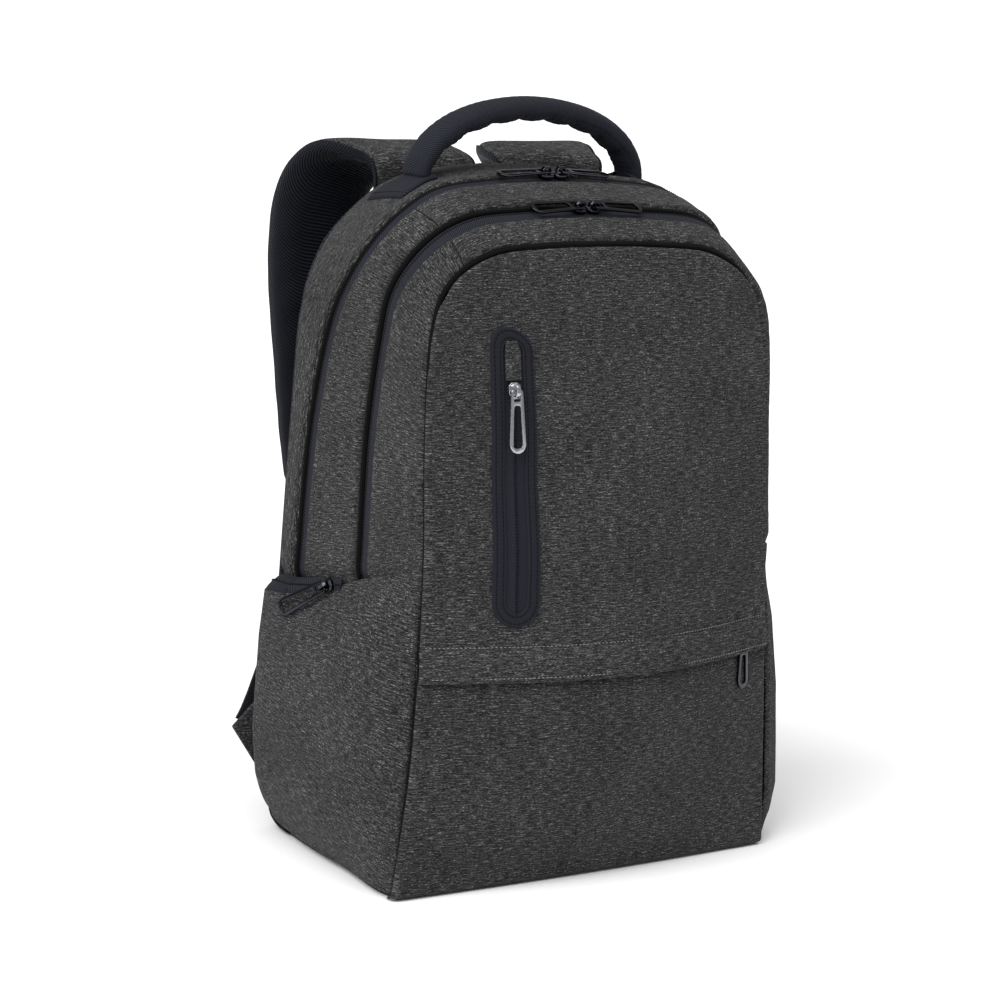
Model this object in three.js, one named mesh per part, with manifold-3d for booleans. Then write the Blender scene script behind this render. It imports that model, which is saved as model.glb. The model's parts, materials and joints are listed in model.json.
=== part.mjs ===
// A laptop backpack: sewn panels round a hollow body, long zips over the top, side pockets,
// an upright zip pocket, a flap pocket, a padded carrying handle and two shoulder straps.
// Millimetres, +Z up. The bag stands on z = 0 and faces -Y; X = 0 is its plane of symmetry.
// The origin is the middle of the flat of its base.

import * as THREE from 'three';
import { mergeVertices } from 'three/addons/utils/BufferGeometryUtils.js';
import Module from 'manifold-3d';

const wasm = await Module();
wasm.setup();

// Body sizes, seam to seam.
const BODY_WIDTH = 300;
const BODY_HEIGHT = 467;
const BODY_DEPTH = 192;

// Cloth and padding.
const CLOTH = 2.2;
const FRONT_CLOTH = 2.5;
const BACK_PAD = 6;
const GAP = 0.35;
const FRONT_BULGE = 29;
const BACK_BULGE = 5;

// Zips.
const FRONT_ZIP_WIDTH = 16;
const REAR_ZIP_WIDTH = 13;
const TAPE = 1.4;
const TAPE_SINK = 1.2;
const COIL_WIDTH = 6;
const COIL_RISE = 1.1;

// Side pockets.
const POCKET_STEP = 3.4;
const POCKET_ZIP_HEIGHT = 11;

// Flap pocket on the front: its stitch line, its free edge and how far it stands proud.
const FLAP_TOP_Z = BODY_HEIGHT * 0.3619;
const FLAP_HEIGHT = BODY_HEIGHT * 0.0493;
const FLAP_EDGE_Z = FLAP_TOP_Z - FLAP_HEIGHT;
const FLAP_RECESS = 3;
const FLAP_TAB_X = BODY_WIDTH * 0.405;
const FLAP_TAB_LOW_Z = FLAP_EDGE_Z - 25;
const FLAP_TAB_LENGTH = FLAP_EDGE_Z - FLAP_TAB_LOW_Z + FLAP_HEIGHT * 0.39;

// Upright zip pocket on the front.
const UPRIGHT_X = BODY_WIDTH * -0.2833;
const UPRIGHT_TOP_Z = BODY_HEIGHT * 0.8158;
const UPRIGHT_LENGTH = BODY_HEIGHT * 0.4368;
const SURROUND_WIDTH = 42;
const SLOT_WIDTH = 18;
const SURROUND_THICK = 1.4;
const LIE = 0.5;
const GARAGE_LENGTH = 26;

// Sliders and pull tabs.
const SLIDER_LENGTH = 11;
const SLIDER_WIDTH = 9;
const SLIDER_THICK = 2.6;
const BRIDGE_WIDTH = 3;
const BRIDGE_HEIGHT = 3.8;
const BRIDGE_WALL = 1.2;
const TAB_LENGTH = 42;
const TAB_WIDTH = 12.5;
const TAB_NECK = 9;
const TAB_THICK = 1.6;
const EYE_WIDTH = 5.2;
const EYE_LENGTH = 6.4;
const EYE_BAR = 1.6;

// Handle.
const HANDLE_RISE = 46;
const HANDLE_HALF_SPAN = 93;
const HANDLE_Y = 50;
const GRIP_THICK = 16;
const GRIP_WIDTH = 25;
const GRIP_RIBS = 9;
const RIB_DEPTH = 1.5;
const FOOT_WIDTH = 40;
const FOOT_THICK = 2.4;
const FOOT_REACH = 24;

// Shoulder straps.
const STRAP_THICK = 13;
const STRAP_WIDTH = 66;
const LINING_THICK = 3;
const STRAP_RIM = 8;
const WEBBING_WIDTH = 25;
const WEBBING_THICK = 1.8;
const BUCKLE_LENGTH = 20;
const BUCKLE_WIDTH = 36;
const BUCKLE_THICK = 4;
const WING_THICK = 3;

// Finishes.
const HEATHER = new THREE.MeshStandardMaterial({ color: 0x3c3b39, roughness: 0.92 });
const TWILL = new THREE.MeshStandardMaterial({ color: 0x2a2b31, roughness: 0.85 });
const ZIP_TAPE = new THREE.MeshStandardMaterial({ color: 0x26272d, roughness: 0.8 });
const AIR_MESH = new THREE.MeshStandardMaterial({ color: 0x15171d, roughness: 0.9 });
const WEBBING = new THREE.MeshStandardMaterial({ color: 0x17181d, roughness: 0.8 });
const SILVER = new THREE.MeshStandardMaterial({ color: 0xb4b6ba, metalness: 1, roughness: 0.3 });
const GUNMETAL = new THREE.MeshStandardMaterial({ color: 0x2b2c31, metalness: 1, roughness: 0.25 });
const PLASTIC = new THREE.MeshStandardMaterial({ color: 0x141518, roughness: 0.5 });

const bag = new THREE.Group();

function addMesh(name, geometry, material, parent = bag) {
  const mesh = new THREE.Mesh(geometry, material);
  mesh.name = name;
  parent.add(mesh);
  return mesh;
}

// Seam lines. Each row is a station of the left half of a seam, from the base up the side,
// round the shoulder and to the middle of the top. out is a share of half the body's width,
// up of its height, back of half its depth.
const FRONT_SEAM = [
  { out: 1.085, up: 0.007, back: -0.885 },
  { out: 1.030, up: 0.204, back: -0.860 },
  { out: 0.993, up: 0.486, back: -0.740 },
  { out: 0.987, up: 0.627, back: -0.646 },
  { out: 0.973, up: 0.743, back: -0.573 },
  { out: 0.947, up: 0.796, back: -0.531 },
  { out: 0.900, up: 0.842, back: -0.505 },
  { out: 0.813, up: 0.874, back: -0.495 },
  { out: 0.620, up: 0.903, back: -0.484 },
  { out: 0.320, up: 0.912, back: -0.474 },
  { out: 0.000, up: 0.914, back: -0.469 },
];
const FRONT_ZIP = [
  { out: 1.070, up: 0.007, back: -0.210 },
  { out: 1.030, up: 0.204, back: -0.063 },
  { out: 1.000, up: 0.439, back: -0.010 },
  { out: 0.980, up: 0.632, back: 0.052 },
  { out: 0.973, up: 0.777, back: 0.000 },
  { out: 0.963, up: 0.833, back: -0.042 },
  { out: 0.923, up: 0.880, back: -0.135 },
  { out: 0.813, up: 0.922, back: -0.208 },
  { out: 0.653, up: 0.947, back: -0.234 },
  { out: 0.333, up: 0.956, back: -0.208 },
  { out: 0.000, up: 0.958, back: -0.188 },
];
const REAR_ZIP = [
  { out: 1.040, up: 0.014, back: 0.625 },
  { out: 1.013, up: 0.204, back: 0.708 },
  { out: 1.000, up: 0.404, back: 0.729 },
  { out: 0.997, up: 0.632, back: 0.698 },
  { out: 0.987, up: 0.781, back: 0.573 },
  { out: 0.970, up: 0.846, back: 0.438 },
  { out: 0.927, up: 0.906, back: 0.271 },
  { out: 0.833, up: 0.949, back: 0.177 },
  { out: 0.667, up: 0.979, back: 0.167 },
  { out: 0.333, up: 0.992, back: 0.193 },
  { out: 0.000, up: 0.995, back: 0.204 },
];
const BACK_SEAM = [
  { out: 0.990, up: 0.030, back: 0.950 },
  { out: 1.000, up: 0.204, back: 1.000 },
  { out: 1.000, up: 0.404, back: 1.010 },
  { out: 1.000, up: 0.632, back: 1.010 },
  { out: 0.993, up: 0.777, back: 1.005 },
  { out: 0.967, up: 0.829, back: 0.995 },
  { out: 0.893, up: 0.884, back: 0.970 },
  { out: 0.773, up: 0.934, back: 0.930 },
  { out: 0.613, up: 0.972, back: 0.890 },
  { out: 0.320, up: 0.994, back: 0.865 },
  { out: 0.000, up: 1.000, back: 0.854 },
];

const TOP_STATION = FRONT_SEAM.length - 1;
const LAST_STATION = 2 * TOP_STATION;
const POCKET_STATION = 2;
const FOOT_STATION = 0.05;
const SHOULDER_STATION = 6;
const CROSS_SEAM_STATION = 7.2;

function seamCurve(rows) {
  const left = rows.map((row) => new THREE.Vector3(
    -row.out * BODY_WIDTH / 2,
    row.back * BODY_DEPTH / 2,
    row.up * BODY_HEIGHT,
  ));
  const right = left.slice(0, -1).reverse().map((p) => new THREE.Vector3(-p.x, p.y, p.z));
  return new THREE.CatmullRomCurve3([...left, ...right], false, 'centripetal');
}

const seams = [FRONT_SEAM, FRONT_ZIP, REAR_ZIP, BACK_SEAM].map(seamCurve);

function seamPoint(seam, station) {
  const share = THREE.MathUtils.clamp(station / LAST_STATION, 0, 1);
  return seams[seam].getPoint(share);
}

// How far the cloth between two neighbouring seams swells out.
const SWELLS = [3, 2.5, 2];

// A point of the bag's side and top skin: station runs along the seams, and across runs from
// the front seam (0) over the front zip (1) and the rear zip (2) to the back seam (3).
function skinPoint(station, across) {
  const band = Math.min(Math.floor(Math.max(across, 0)), SWELLS.length - 1);
  const q = across - band;
  const near = seamPoint(band, station);
  const far = seamPoint(band + 1, station);
  const along = seamPoint(band, station + 0.05).sub(seamPoint(band, station - 0.05));
  const out = far.clone().sub(near).cross(along).normalize();
  return near.lerp(far, q).addScaledVector(out, -SWELLS[band] * 4 * q * (1 - q));
}

function skinNormal(station, across) {
  const step = 0.02;
  const s0 = Math.max(station - step, 0);
  const s1 = Math.min(station + step, LAST_STATION);
  const a0 = Math.max(across - step, 0);
  const a1 = Math.min(across + step, SWELLS.length);
  const along = skinPoint(s1, across).sub(skinPoint(s0, across));
  const over = skinPoint(station, a1).sub(skinPoint(station, a0));
  return along.cross(over).normalize();
}

function skin(station, across, lift = 0) {
  return skinPoint(station, across).addScaledVector(skinNormal(station, across), lift);
}

// The across value that lies a given distance from a seam, on its rear side if positive.
function acrossAt(seam, distance, station) {
  const band = distance < 0 ? seam - 1 : seam;
  const span = seamPoint(band, station).distanceTo(seamPoint(band + 1, station));
  return seam + distance / span;
}

// Closed mesh from two matching grids of points, the outer and the inner face of a wall.
function wall(outer, inner) {
  const rows = outer.length;
  const cols = outer[0].length;
  const points = [...outer.flat(), ...inner.flat()];
  const index = [];
  const at = (r, c, side) => side * rows * cols + r * cols + c;
  const quad = (a, b, c, d) => index.push(a, b, c, a, c, d);
  for (let r = 0; r < rows - 1; r += 1) {
    for (let c = 0; c < cols - 1; c += 1) {
      quad(at(r, c, 0), at(r, c + 1, 0), at(r + 1, c + 1, 0), at(r + 1, c, 0));
      quad(at(r, c, 1), at(r + 1, c, 1), at(r + 1, c + 1, 1), at(r, c + 1, 1));
    }
  }
  for (let r = 0; r < rows - 1; r += 1) {
    quad(at(r, 0, 0), at(r + 1, 0, 0), at(r + 1, 0, 1), at(r, 0, 1));
    quad(at(r, cols - 1, 0), at(r, cols - 1, 1), at(r + 1, cols - 1, 1), at(r + 1, cols - 1, 0));
  }
  for (let c = 0; c < cols - 1; c += 1) {
    quad(at(0, c, 0), at(0, c, 1), at(0, c + 1, 1), at(0, c + 1, 0));
    quad(at(rows - 1, c, 0), at(rows - 1, c + 1, 0), at(rows - 1, c + 1, 1), at(rows - 1, c, 1));
  }
  return solid(points, index);
}

// Closed mesh through a list of sections, each a ring of points. A closed run joins the last
// section to the first; an open one is capped with fans.
function loft(sections, closed = false) {
  const n = sections[0].length;
  const count = sections.length;
  const points = sections.flat();
  const index = [];
  const steps = closed ? count : count - 1;
  for (let i = 0; i < steps; i += 1) {
    const a = i * n;
    const b = ((i + 1) % count) * n;
    for (let j = 0; j < n; j += 1) {
      const k = (j + 1) % n;
      index.push(a + j, b + j, b + k, a + j, b + k, a + k);
    }
  }
  if (!closed) {
    const last = (count - 1) * n;
    for (let j = 1; j < n - 1; j += 1) {
      index.push(0, j, j + 1);
      index.push(last, last + j + 1, last + j);
    }
  }
  return solid(points, index);
}

function signedVolume(points, index) {
  let sum = 0;
  for (let i = 0; i < index.length; i += 3) {
    const [a, b, c] = [points[index[i]], points[index[i + 1]], points[index[i + 2]]];
    sum += a.dot(b.clone().cross(c)) / 6;
  }
  return sum;
}

function solid(points, index) {
  const faces = signedVolume(points, index) < 0 ? index.slice().reverse() : index;
  const geometry = new THREE.BufferGeometry();
  geometry.setAttribute('position', new THREE.Float32BufferAttribute(
    points.flatMap((p) => [p.x, p.y, p.z]),
    3,
  ));
  geometry.setIndex(faces);
  geometry.computeVertexNormals();
  return geometry;
}

// Joins two closed meshes into one.
function join(first, second) {
  const solids = [first, second].map((geometry) => {
    const bare = geometry.clone();
    bare.deleteAttribute('normal');
    bare.deleteAttribute('uv');
    const merged = mergeVertices(bare);
    return new wasm.Manifold(new wasm.Mesh({
      numProp: 3,
      vertProperties: new Float32Array(merged.attributes.position.array),
      triVerts: new Uint32Array(merged.index.array),
    }));
  });
  const mesh = solids[0].add(solids[1]).getMesh();
  const geometry = new THREE.BufferGeometry();
  geometry.setAttribute('position', new THREE.Float32BufferAttribute(mesh.vertProperties, 3));
  geometry.setIndex(Array.from(mesh.triVerts));
  geometry.computeVertexNormals();
  return geometry;
}

// Stations of one half, closer together round the shoulder, then mirrored to the other half.
const HALF_STATIONS = [3, 4, 4.5, 5, 5.5, 6, 6.5, 7, 7.5, 8, 9, 10];
const ALL_STATIONS = [
  ...HALF_STATIONS,
  ...HALF_STATIONS.slice(0, -1).reverse().map((s) => LAST_STATION - s),
];
const HEM_STATION = 1.6;
const TUCK_STATION = 1.93;

function stationsBetween(from, to) {
  return [from, ...ALL_STATIONS.filter((s) => s > from + 0.1 && s < to - 0.1), to];
}

// Below the pocket's top edge the bands step in behind the side pocket.
function tuck(station) {
  const height = Math.min(station, LAST_STATION - station);
  return height < (TUCK_STATION + POCKET_STATION) / 2 ? -POCKET_STEP : 0;
}

// The stations of a band that starts behind one side pocket or ends behind the other.
function bandStations(from, to) {
  const list = stationsBetween(Math.max(from, POCKET_STATION), Math.min(to, LAST_STATION - POCKET_STATION));
  if (from < POCKET_STATION) list.unshift(from, TUCK_STATION);
  if (to > LAST_STATION - POCKET_STATION) list.push(LAST_STATION - TUCK_STATION, to);
  return list;
}

// A sewn band between two seams. startPad and endPad are the distances from the seams.
function gusset(name, band, startPad, endPad, from, to) {
  const columns = 3;
  const face = (depth) => bandStations(from, to).map((station) => {
    const start = acrossAt(band, startPad, station);
    const end = acrossAt(band + 1, -endPad, station);
    return Array.from({ length: columns + 1 }, (_, c) => {
      const across = THREE.MathUtils.lerp(start, end, c / columns);
      return skin(station, across, tuck(station) - depth);
    });
  });
  addMesh(name, wall(face(0), face(CLOTH)), HEATHER);
}

function splitGusset(name, band, startPad, endPad) {
  const seamGap = 0.01;
  const cross = CROSS_SEAM_STATION;
  const farCross = LAST_STATION - cross;
  gusset(`${name}_left`, band, startPad, endPad, HEM_STATION, cross - seamGap);
  gusset(`${name}_top`, band, startPad, endPad, cross + seamGap, farCross - seamGap);
  gusset(`${name}_right`, band, startPad, endPad, farCross + seamGap, LAST_STATION - HEM_STATION);
}

splitGusset('front_gusset', 0, FRONT_CLOTH + GAP, FRONT_ZIP_WIDTH / 2 + GAP);
splitGusset('mid_gusset', 1, FRONT_ZIP_WIDTH / 2 + GAP, REAR_ZIP_WIDTH / 2 + GAP);
gusset('rear_gusset', 2, REAR_ZIP_WIDTH / 2 + GAP, BACK_PAD + GAP,
  HEM_STATION, LAST_STATION - HEM_STATION);

// Zip tape with its coil as a low ridge down the middle, sunk between the bands.
function longZip(name, seam, width) {
  const profile = [
    { off: -width / 2, rise: 0 },
    { off: -COIL_WIDTH / 2, rise: 0 },
    { off: -COIL_WIDTH / 4, rise: COIL_RISE },
    { off: COIL_WIDTH / 4, rise: COIL_RISE },
    { off: COIL_WIDTH / 2, rise: 0 },
    { off: width / 2, rise: 0 },
  ];
  const stations = bandStations(HEM_STATION, LAST_STATION - HEM_STATION);
  const face = (row, depth) => stations.map((station) => row.map(({ off, rise }) => (
    skin(station, acrossAt(seam, off, station), tuck(station) - TAPE_SINK + rise - depth)
  )));
  const flat = profile.map(({ off }) => ({ off, rise: 0 }));
  addMesh(name, wall(face(profile, 0), face(flat, TAPE)), ZIP_TAPE);
}

longZip('front_zip', 1, FRONT_ZIP_WIDTH);
longZip('rear_zip', 2, REAR_ZIP_WIDTH);

// Side pockets, and the body walls behind them.
const POCKET_TOP_STATION = 1.94;
const ZIP_END_ACROSS = 1.3;

function mirrorX(p) {
  return new THREE.Vector3(-p.x, p.y, p.z);
}

function addBothSides(name, outer, inner, material) {
  addMesh(`${name}_left`, wall(outer, inner), material);
  const flip = (grid) => grid.map((row) => row.map(mirrorX));
  addMesh(`${name}_right`, wall(flip(outer), flip(inner)), material);
}

function sideWall() {
  const stations = [FOOT_STATION * 2, 0.5, 1, HEM_STATION - 0.01];
  const face = (depth) => stations.map((station) => {
    const start = acrossAt(0, FRONT_CLOTH + GAP, station);
    const end = acrossAt(3, -(BACK_PAD + GAP), station);
    return [start, 0.6, 1, 1.5, 2, end].map((across) => (
      skin(station, across, -POCKET_STEP - depth)
    ));
  });
  addBothSides('side_wall', face(0), face(CLOTH), HEATHER);
}

// How far a pocket stands out at each height, and how fast that falls off towards its seams.
const POCKET_PUFFS = [
  { up: 0.006, puff: 0.5 },
  { up: 0.040, puff: 7.0 },
  { up: 0.090, puff: 14.0 },
  { up: 0.160, puff: 18.0 },
  { up: 0.300, puff: 19.0 },
  { up: 0.370, puff: 16.0 },
  { up: 0.430, puff: 9.0 },
];
const PUFF_POWER = 7;

function pocketPuff(station, across) {
  const size = rowAt(POCKET_PUFFS, 'up', 'puff', skinPoint(station, across).z / BODY_HEIGHT);
  return size * (1 - Math.abs(2 * across / SWELLS.length - 1) ** PUFF_POWER);
}

// The mouth is sewn down in front of its zip and stands out more and more behind it.
function mouthPuff(station, across) {
  const free = THREE.MathUtils.smoothstep(across, ZIP_END_ACROSS, ZIP_END_ACROSS + 0.9);
  return pocketPuff(station, across) * free;
}

// Value of a table's column at a place between its rows.
function rowAt(rows, key, value, at) {
  const i = Math.min(Math.max(1, rows.findIndex((row) => row[key] >= at)), rows.length - 1);
  const next = at >= rows[rows.length - 1][key] ? rows.length - 1 : i;
  const t = (at - rows[next - 1][key]) / (rows[next][key] - rows[next - 1][key]);
  return THREE.MathUtils.lerp(rows[next - 1][value], rows[next][value], THREE.MathUtils.clamp(t, 0, 1));
}

function stationDrop(station, across, drop) {
  const here = skinPoint(station, across).z;
  const below = skinPoint(station - 0.1, across).z;
  return station - 0.1 * drop / (here - below);
}

function sidePocket() {
  const heights = [0, 0.1, 0.24, 0.5, 0.8, 1];
  const columns = [0, 0.1, 0.35, 0.8, ZIP_END_ACROSS - 0.02, ZIP_END_ACROSS + 0.02, 1.7, 2.2, 2.7, 3];
  const face = (depth) => heights.map((h) => columns.map((column) => {
    const zipped = column > ZIP_END_ACROSS;
    const top = stationDrop(POCKET_TOP_STATION, column, zipped ? POCKET_ZIP_HEIGHT : 0);
    const station = THREE.MathUtils.lerp(FOOT_STATION, top, h);
    const across = THREE.MathUtils.clamp(
      column,
      acrossAt(0, FRONT_CLOTH + GAP, station),
      acrossAt(3, -(BACK_PAD + GAP), station),
    );
    const puff = h === 1 ? mouthPuff : pocketPuff;
    return skin(station, across, puff(station, across) - depth);
  }));
  addBothSides('side_pocket', face(0), face(CLOTH), HEATHER);
}

// The pocket's zip slopes in from the pocket's mouth to the body. share runs up the slope.
function pocketZipPoint(column, share, depth) {
  const corner = column > 2.9 ? POCKET_ZIP_HEIGHT / 2 : 0;
  const low = stationDrop(POCKET_TOP_STATION, column, POCKET_ZIP_HEIGHT - GAP);
  const high = stationDrop(POCKET_TOP_STATION, column, corner);
  const across = Math.min(column, acrossAt(3, -(BACK_PAD + GAP), low));
  const near = skin(low, across, mouthPuff(low, across) - depth);
  return near.lerp(skin(high, across, GAP - depth), share);
}

function pocketZip() {
  const columns = [ZIP_END_ACROSS + 0.04, 1.6, 1.9, 2.2, 2.5, 2.7, 3];
  const face = (depth) => [0, 1].map((share) => (
    columns.map((column) => pocketZipPoint(column, share, depth))
  ));
  addBothSides('pocket_zip', face(0), face(TAPE), ZIP_TAPE);
}

sideWall();
sidePocket();
pocketZip();

// Front and back panels. Each fills its seam: up to the shoulder a row is level, and above it
// the rows bend up to follow the seam over the top.
function levelStation(seam, z) {
  let low = 0;
  let high = SHOULDER_STATION;
  for (let i = 0; i < 40; i += 1) {
    const middle = (low + high) / 2;
    if (seamPoint(seam, middle).z < z) low = middle;
    else high = middle;
  }
  return (low + high) / 2;
}

// Depth of the front's bulge at each height, as a share of the largest.
const FRONT_BULGES = [
  { up: 0.011, swell: 0.12 },
  { up: 0.080, swell: 0.55 },
  { up: 0.209, swell: 0.95 },
  { up: 0.317, swell: 1.00 },
  { up: 0.456, swell: 0.84 },
  { up: 0.624, swell: 0.55 },
  { up: 0.782, swell: 0.26 },
  { up: 0.921, swell: 0.00 },
];
const BACK_BULGES = [
  { up: 0.011, swell: 0.0 },
  { up: 0.209, swell: 0.9 },
  { up: 0.505, swell: 1.0 },
  { up: 0.802, swell: 0.5 },
  { up: 0.931, swell: 0.0 },
  { up: 1.000, swell: 0.0 },
];

function smoothTable(rows, key, value, at) {
  const i = Math.max(1, rows.findIndex((row) => row[key] >= at));
  if (at >= rows[rows.length - 1][key]) return rows[rows.length - 1][value];
  const t = THREE.MathUtils.smoothstep(at, rows[i - 1][key], rows[i][key]);
  return THREE.MathUtils.lerp(rows[i - 1][value], rows[i][value], t);
}

const BULGE_POWER = 1.3;

function panelPoint(seam, u, station) {
  const side = seamPoint(seam, station);
  const corner = seamPoint(seam, SHOULDER_STATION);
  const span = LAST_STATION - 2 * SHOULDER_STATION;
  const top = seamPoint(seam, SHOULDER_STATION + span * (u + 1) / 2);
  const crown = THREE.MathUtils.smoothstep(station, SHOULDER_STATION - 1.5, SHOULDER_STATION);
  const share = THREE.MathUtils.lerp(u, top.x / Math.abs(corner.x), crown);
  const z = side.z + crown * (top.z - corner.z);
  const y = side.y + crown * (top.y - corner.y);
  const round = Math.max(0, 1 - u * u) ** BULGE_POWER;
  const rows = seam === 0 ? FRONT_BULGES : BACK_BULGES;
  const size = seam === 0 ? -FRONT_BULGE : BACK_BULGE;
  const bulge = size * smoothTable(rows, 'up', 'swell', z / BODY_HEIGHT) * round;
  return new THREE.Vector3(Math.abs(side.x) * share, y + bulge, z);
}

function panelNormal(seam, u, station) {
  const step = 0.01;
  const s0 = Math.max(station - step, 0);
  const s1 = Math.min(station + step, SHOULDER_STATION);
  const u0 = Math.max(u - step, -1);
  const u1 = Math.min(u + step, 1);
  const rise = panelPoint(seam, u, s1).sub(panelPoint(seam, u, s0));
  const over = panelPoint(seam, u1, station).sub(panelPoint(seam, u0, station));
  const out = over.cross(rise).normalize();
  return seam === 0 ? out : out.negate();
}

function panel(seam, u, station, lift) {
  return panelPoint(seam, u, station).addScaledVector(panelNormal(seam, u, station), lift);
}

const PANEL_COLUMNS = [-1, -0.9, -0.75, -0.6, -0.4, -0.2, 0, 0.2, 0.4, 0.6, 0.75, 0.9, 1];

function panelPiece(name, seam, stations, lift, thick, material, breadth = () => 1) {
  const face = (depth) => stations.map((station, row) => (
    PANEL_COLUMNS.map((u) => panel(seam, u * breadth(row), station, lift(row) - depth))
  ));
  addMesh(name, wall(face(0), face(thick)), material);
}

function levels(from, to, count) {
  return Array.from({ length: count + 1 }, (_, i) => (
    levelStation(0, THREE.MathUtils.lerp(from, to, i / count))
  ));
}

const LOWER_LEVEL_Z = BODY_HEIGHT * 0.0535;
const UPPER_LEVEL_Z = BODY_HEIGHT * 0.7388;
const SHOULDER_ROWS = [4.6, 4.9, 5.2, 5.5, 5.75, SHOULDER_STATION];
panelPiece('front_panel_upper', 0,
  [...levels(FLAP_TOP_Z, UPPER_LEVEL_Z, 6), ...SHOULDER_ROWS],
  () => 0, FRONT_CLOTH, HEATHER);

// Below the flap the front is one panel, which steps in behind the flap for its hidden zip.
function frontLower() {
  const open = levels(LOWER_LEVEL_Z, FLAP_EDGE_Z - 2, 6);
  const hidden = levels(FLAP_EDGE_Z + 6, FLAP_TOP_Z - GAP, 1);
  const stations = [FOOT_STATION, ...open, ...hidden];
  const lift = (row) => (row > open.length ? -FLAP_RECESS : 0);
  const clear = 1 - (POCKET_STEP + CLOTH + GAP) / (BODY_WIDTH / 2);
  const breadth = (row) => (row > open.length ? clear : 1);
  panelPiece('front_panel_lower', 0, stations, lift, FRONT_CLOTH, HEATHER, breadth);
}

frontLower();

// The flap leaves the front at its stitch line and stands proud over the hidden zip. drop is
// a share of the flap's height and proud of how far it stands out.
const FLAP_PROUD = (LIE + TAB_THICK + 2 * GAP + CLOTH) / 0.9;
const FLAP_ROWS = [
  { drop: 1.00, proud: 0.90 },
  { drop: 0.60, proud: 1.00 },
  { drop: 0.35, proud: 0.90 },
  { drop: 0.15, proud: 0.45 },
  { drop: 0.00, proud: 0.00 },
];

function frontFlap() {
  const top = FLAP_TOP_Z - GAP;
  const stations = FLAP_ROWS.map(({ drop }) => (
    levelStation(0, top - drop * (top - FLAP_EDGE_Z))
  ));
  panelPiece('front_flap', 0, stations, (row) => FLAP_PROUD * FLAP_ROWS[row].proud, CLOTH, HEATHER);
}

frontFlap();

const BACK_ROWS = [FOOT_STATION, 0.5, 1, 1.5, 2, 2.6, 3.2, 3.8, 4.4, 4.9, 5.4, SHOULDER_STATION];
panelPiece('back_panel', 3, BACK_ROWS, () => 0, BACK_PAD, AIR_MESH);

// Base: a flat tray with low lips, rising towards the back.
const BASE_ROWS = [
  { across: 0.00, level: 1.00 },
  { across: 0.03, level: 0.00 },
  { across: 0.35, level: 0.00 },
  { across: 0.80, level: 0.00 },
  { across: 0.92, level: 0.35 },
  { across: 1.00, level: 1.00 },
];

function basePoint(u, row) {
  const edge = skinPoint(FOOT_STATION, row.across * 3);
  const flat = Math.abs(u) < 0.95;
  const round = Math.max(0, 1 - u * u) ** BULGE_POWER;
  const bow = -FRONT_BULGE * FRONT_BULGES[0].swell * round * (1 - row.across) ** 4;
  const edgeLevel = edge.z - GAP - CLOTH;
  const z = flat ? edgeLevel * row.level : edgeLevel;
  return new THREE.Vector3(Math.abs(edge.x) * u, edge.y + bow, z);
}

function basePanel() {
  const columns = [-1, -0.94, -0.6, -0.2, 0.2, 0.6, 0.94, 1];
  const face = (depth) => BASE_ROWS.map((row) => columns.map((u) => {
    const p = basePoint(u, row);
    return new THREE.Vector3(p.x, p.y, p.z + depth);
  }));
  addMesh('base_panel', wall(face(0), face(CLOTH)), HEATHER);
}

basePanel();

// The front panel's station and u at a given x and height.
function frontPlace(x, z) {
  let u = 0;
  let station = 0;
  for (let pass = 0; pass < 8; pass += 1) {
    let low = 0;
    let high = SHOULDER_STATION;
    for (let i = 0; i < 24; i += 1) {
      station = (low + high) / 2;
      if (panelPoint(0, u, station).z < z) low = station;
      else high = station;
    }
    const half = panelPoint(0, Math.sign(x) || 1, station).x;
    u = THREE.MathUtils.clamp(x / Math.abs(half), -1, 1);
  }
  return { u, station };
}

function frontAt(x, z, lift = 0) {
  const { u, station } = frontPlace(x, z);
  return panel(0, u, station, lift);
}

// Upright zip pocket: a stadium-shaped surround, the tape and coil in its slot, and a small
// cloth garage over the slot's top.
const UPRIGHT_MIDDLE_Z = UPRIGHT_TOP_Z - UPRIGHT_LENGTH / 2;
const SLOT_TOP_Z = UPRIGHT_TOP_Z - (SURROUND_WIDTH - SLOT_WIDTH) / 2;

function stadium(halfWidth, halfLength, arcSteps) {
  const straight = halfLength - halfWidth;
  const sides = 5;
  const points = [];
  for (const end of [1, -1]) {
    for (let i = 0; i <= arcSteps; i += 1) {
      const angle = Math.PI * i / arcSteps;
      points.push([end * halfWidth * Math.cos(angle), end * (straight + halfWidth * Math.sin(angle))]);
    }
    for (let i = 1; i < sides; i += 1) {
      points.push([-end * halfWidth, end * straight * (1 - 2 * i / sides)]);
    }
  }
  return points;
}

function zipSurround() {
  const arcSteps = 8;
  const outer = stadium(SURROUND_WIDTH / 2, UPRIGHT_LENGTH / 2, arcSteps);
  const shrink = (SURROUND_WIDTH - SLOT_WIDTH) / 2;
  const inner = stadium(SLOT_WIDTH / 2, UPRIGHT_LENGTH / 2 - shrink, arcSteps);
  const place = ([x, z], lift) => frontAt(UPRIGHT_X + x, UPRIGHT_MIDDLE_Z + z, lift);
  const sections = outer.map((point, i) => [
    place(point, LIE),
    place(point, LIE + SURROUND_THICK),
    place(inner[i], LIE + SURROUND_THICK),
    place(inner[i], LIE),
  ]);
  addMesh('zip_surround', loft(sections, true), TWILL);
}

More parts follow.
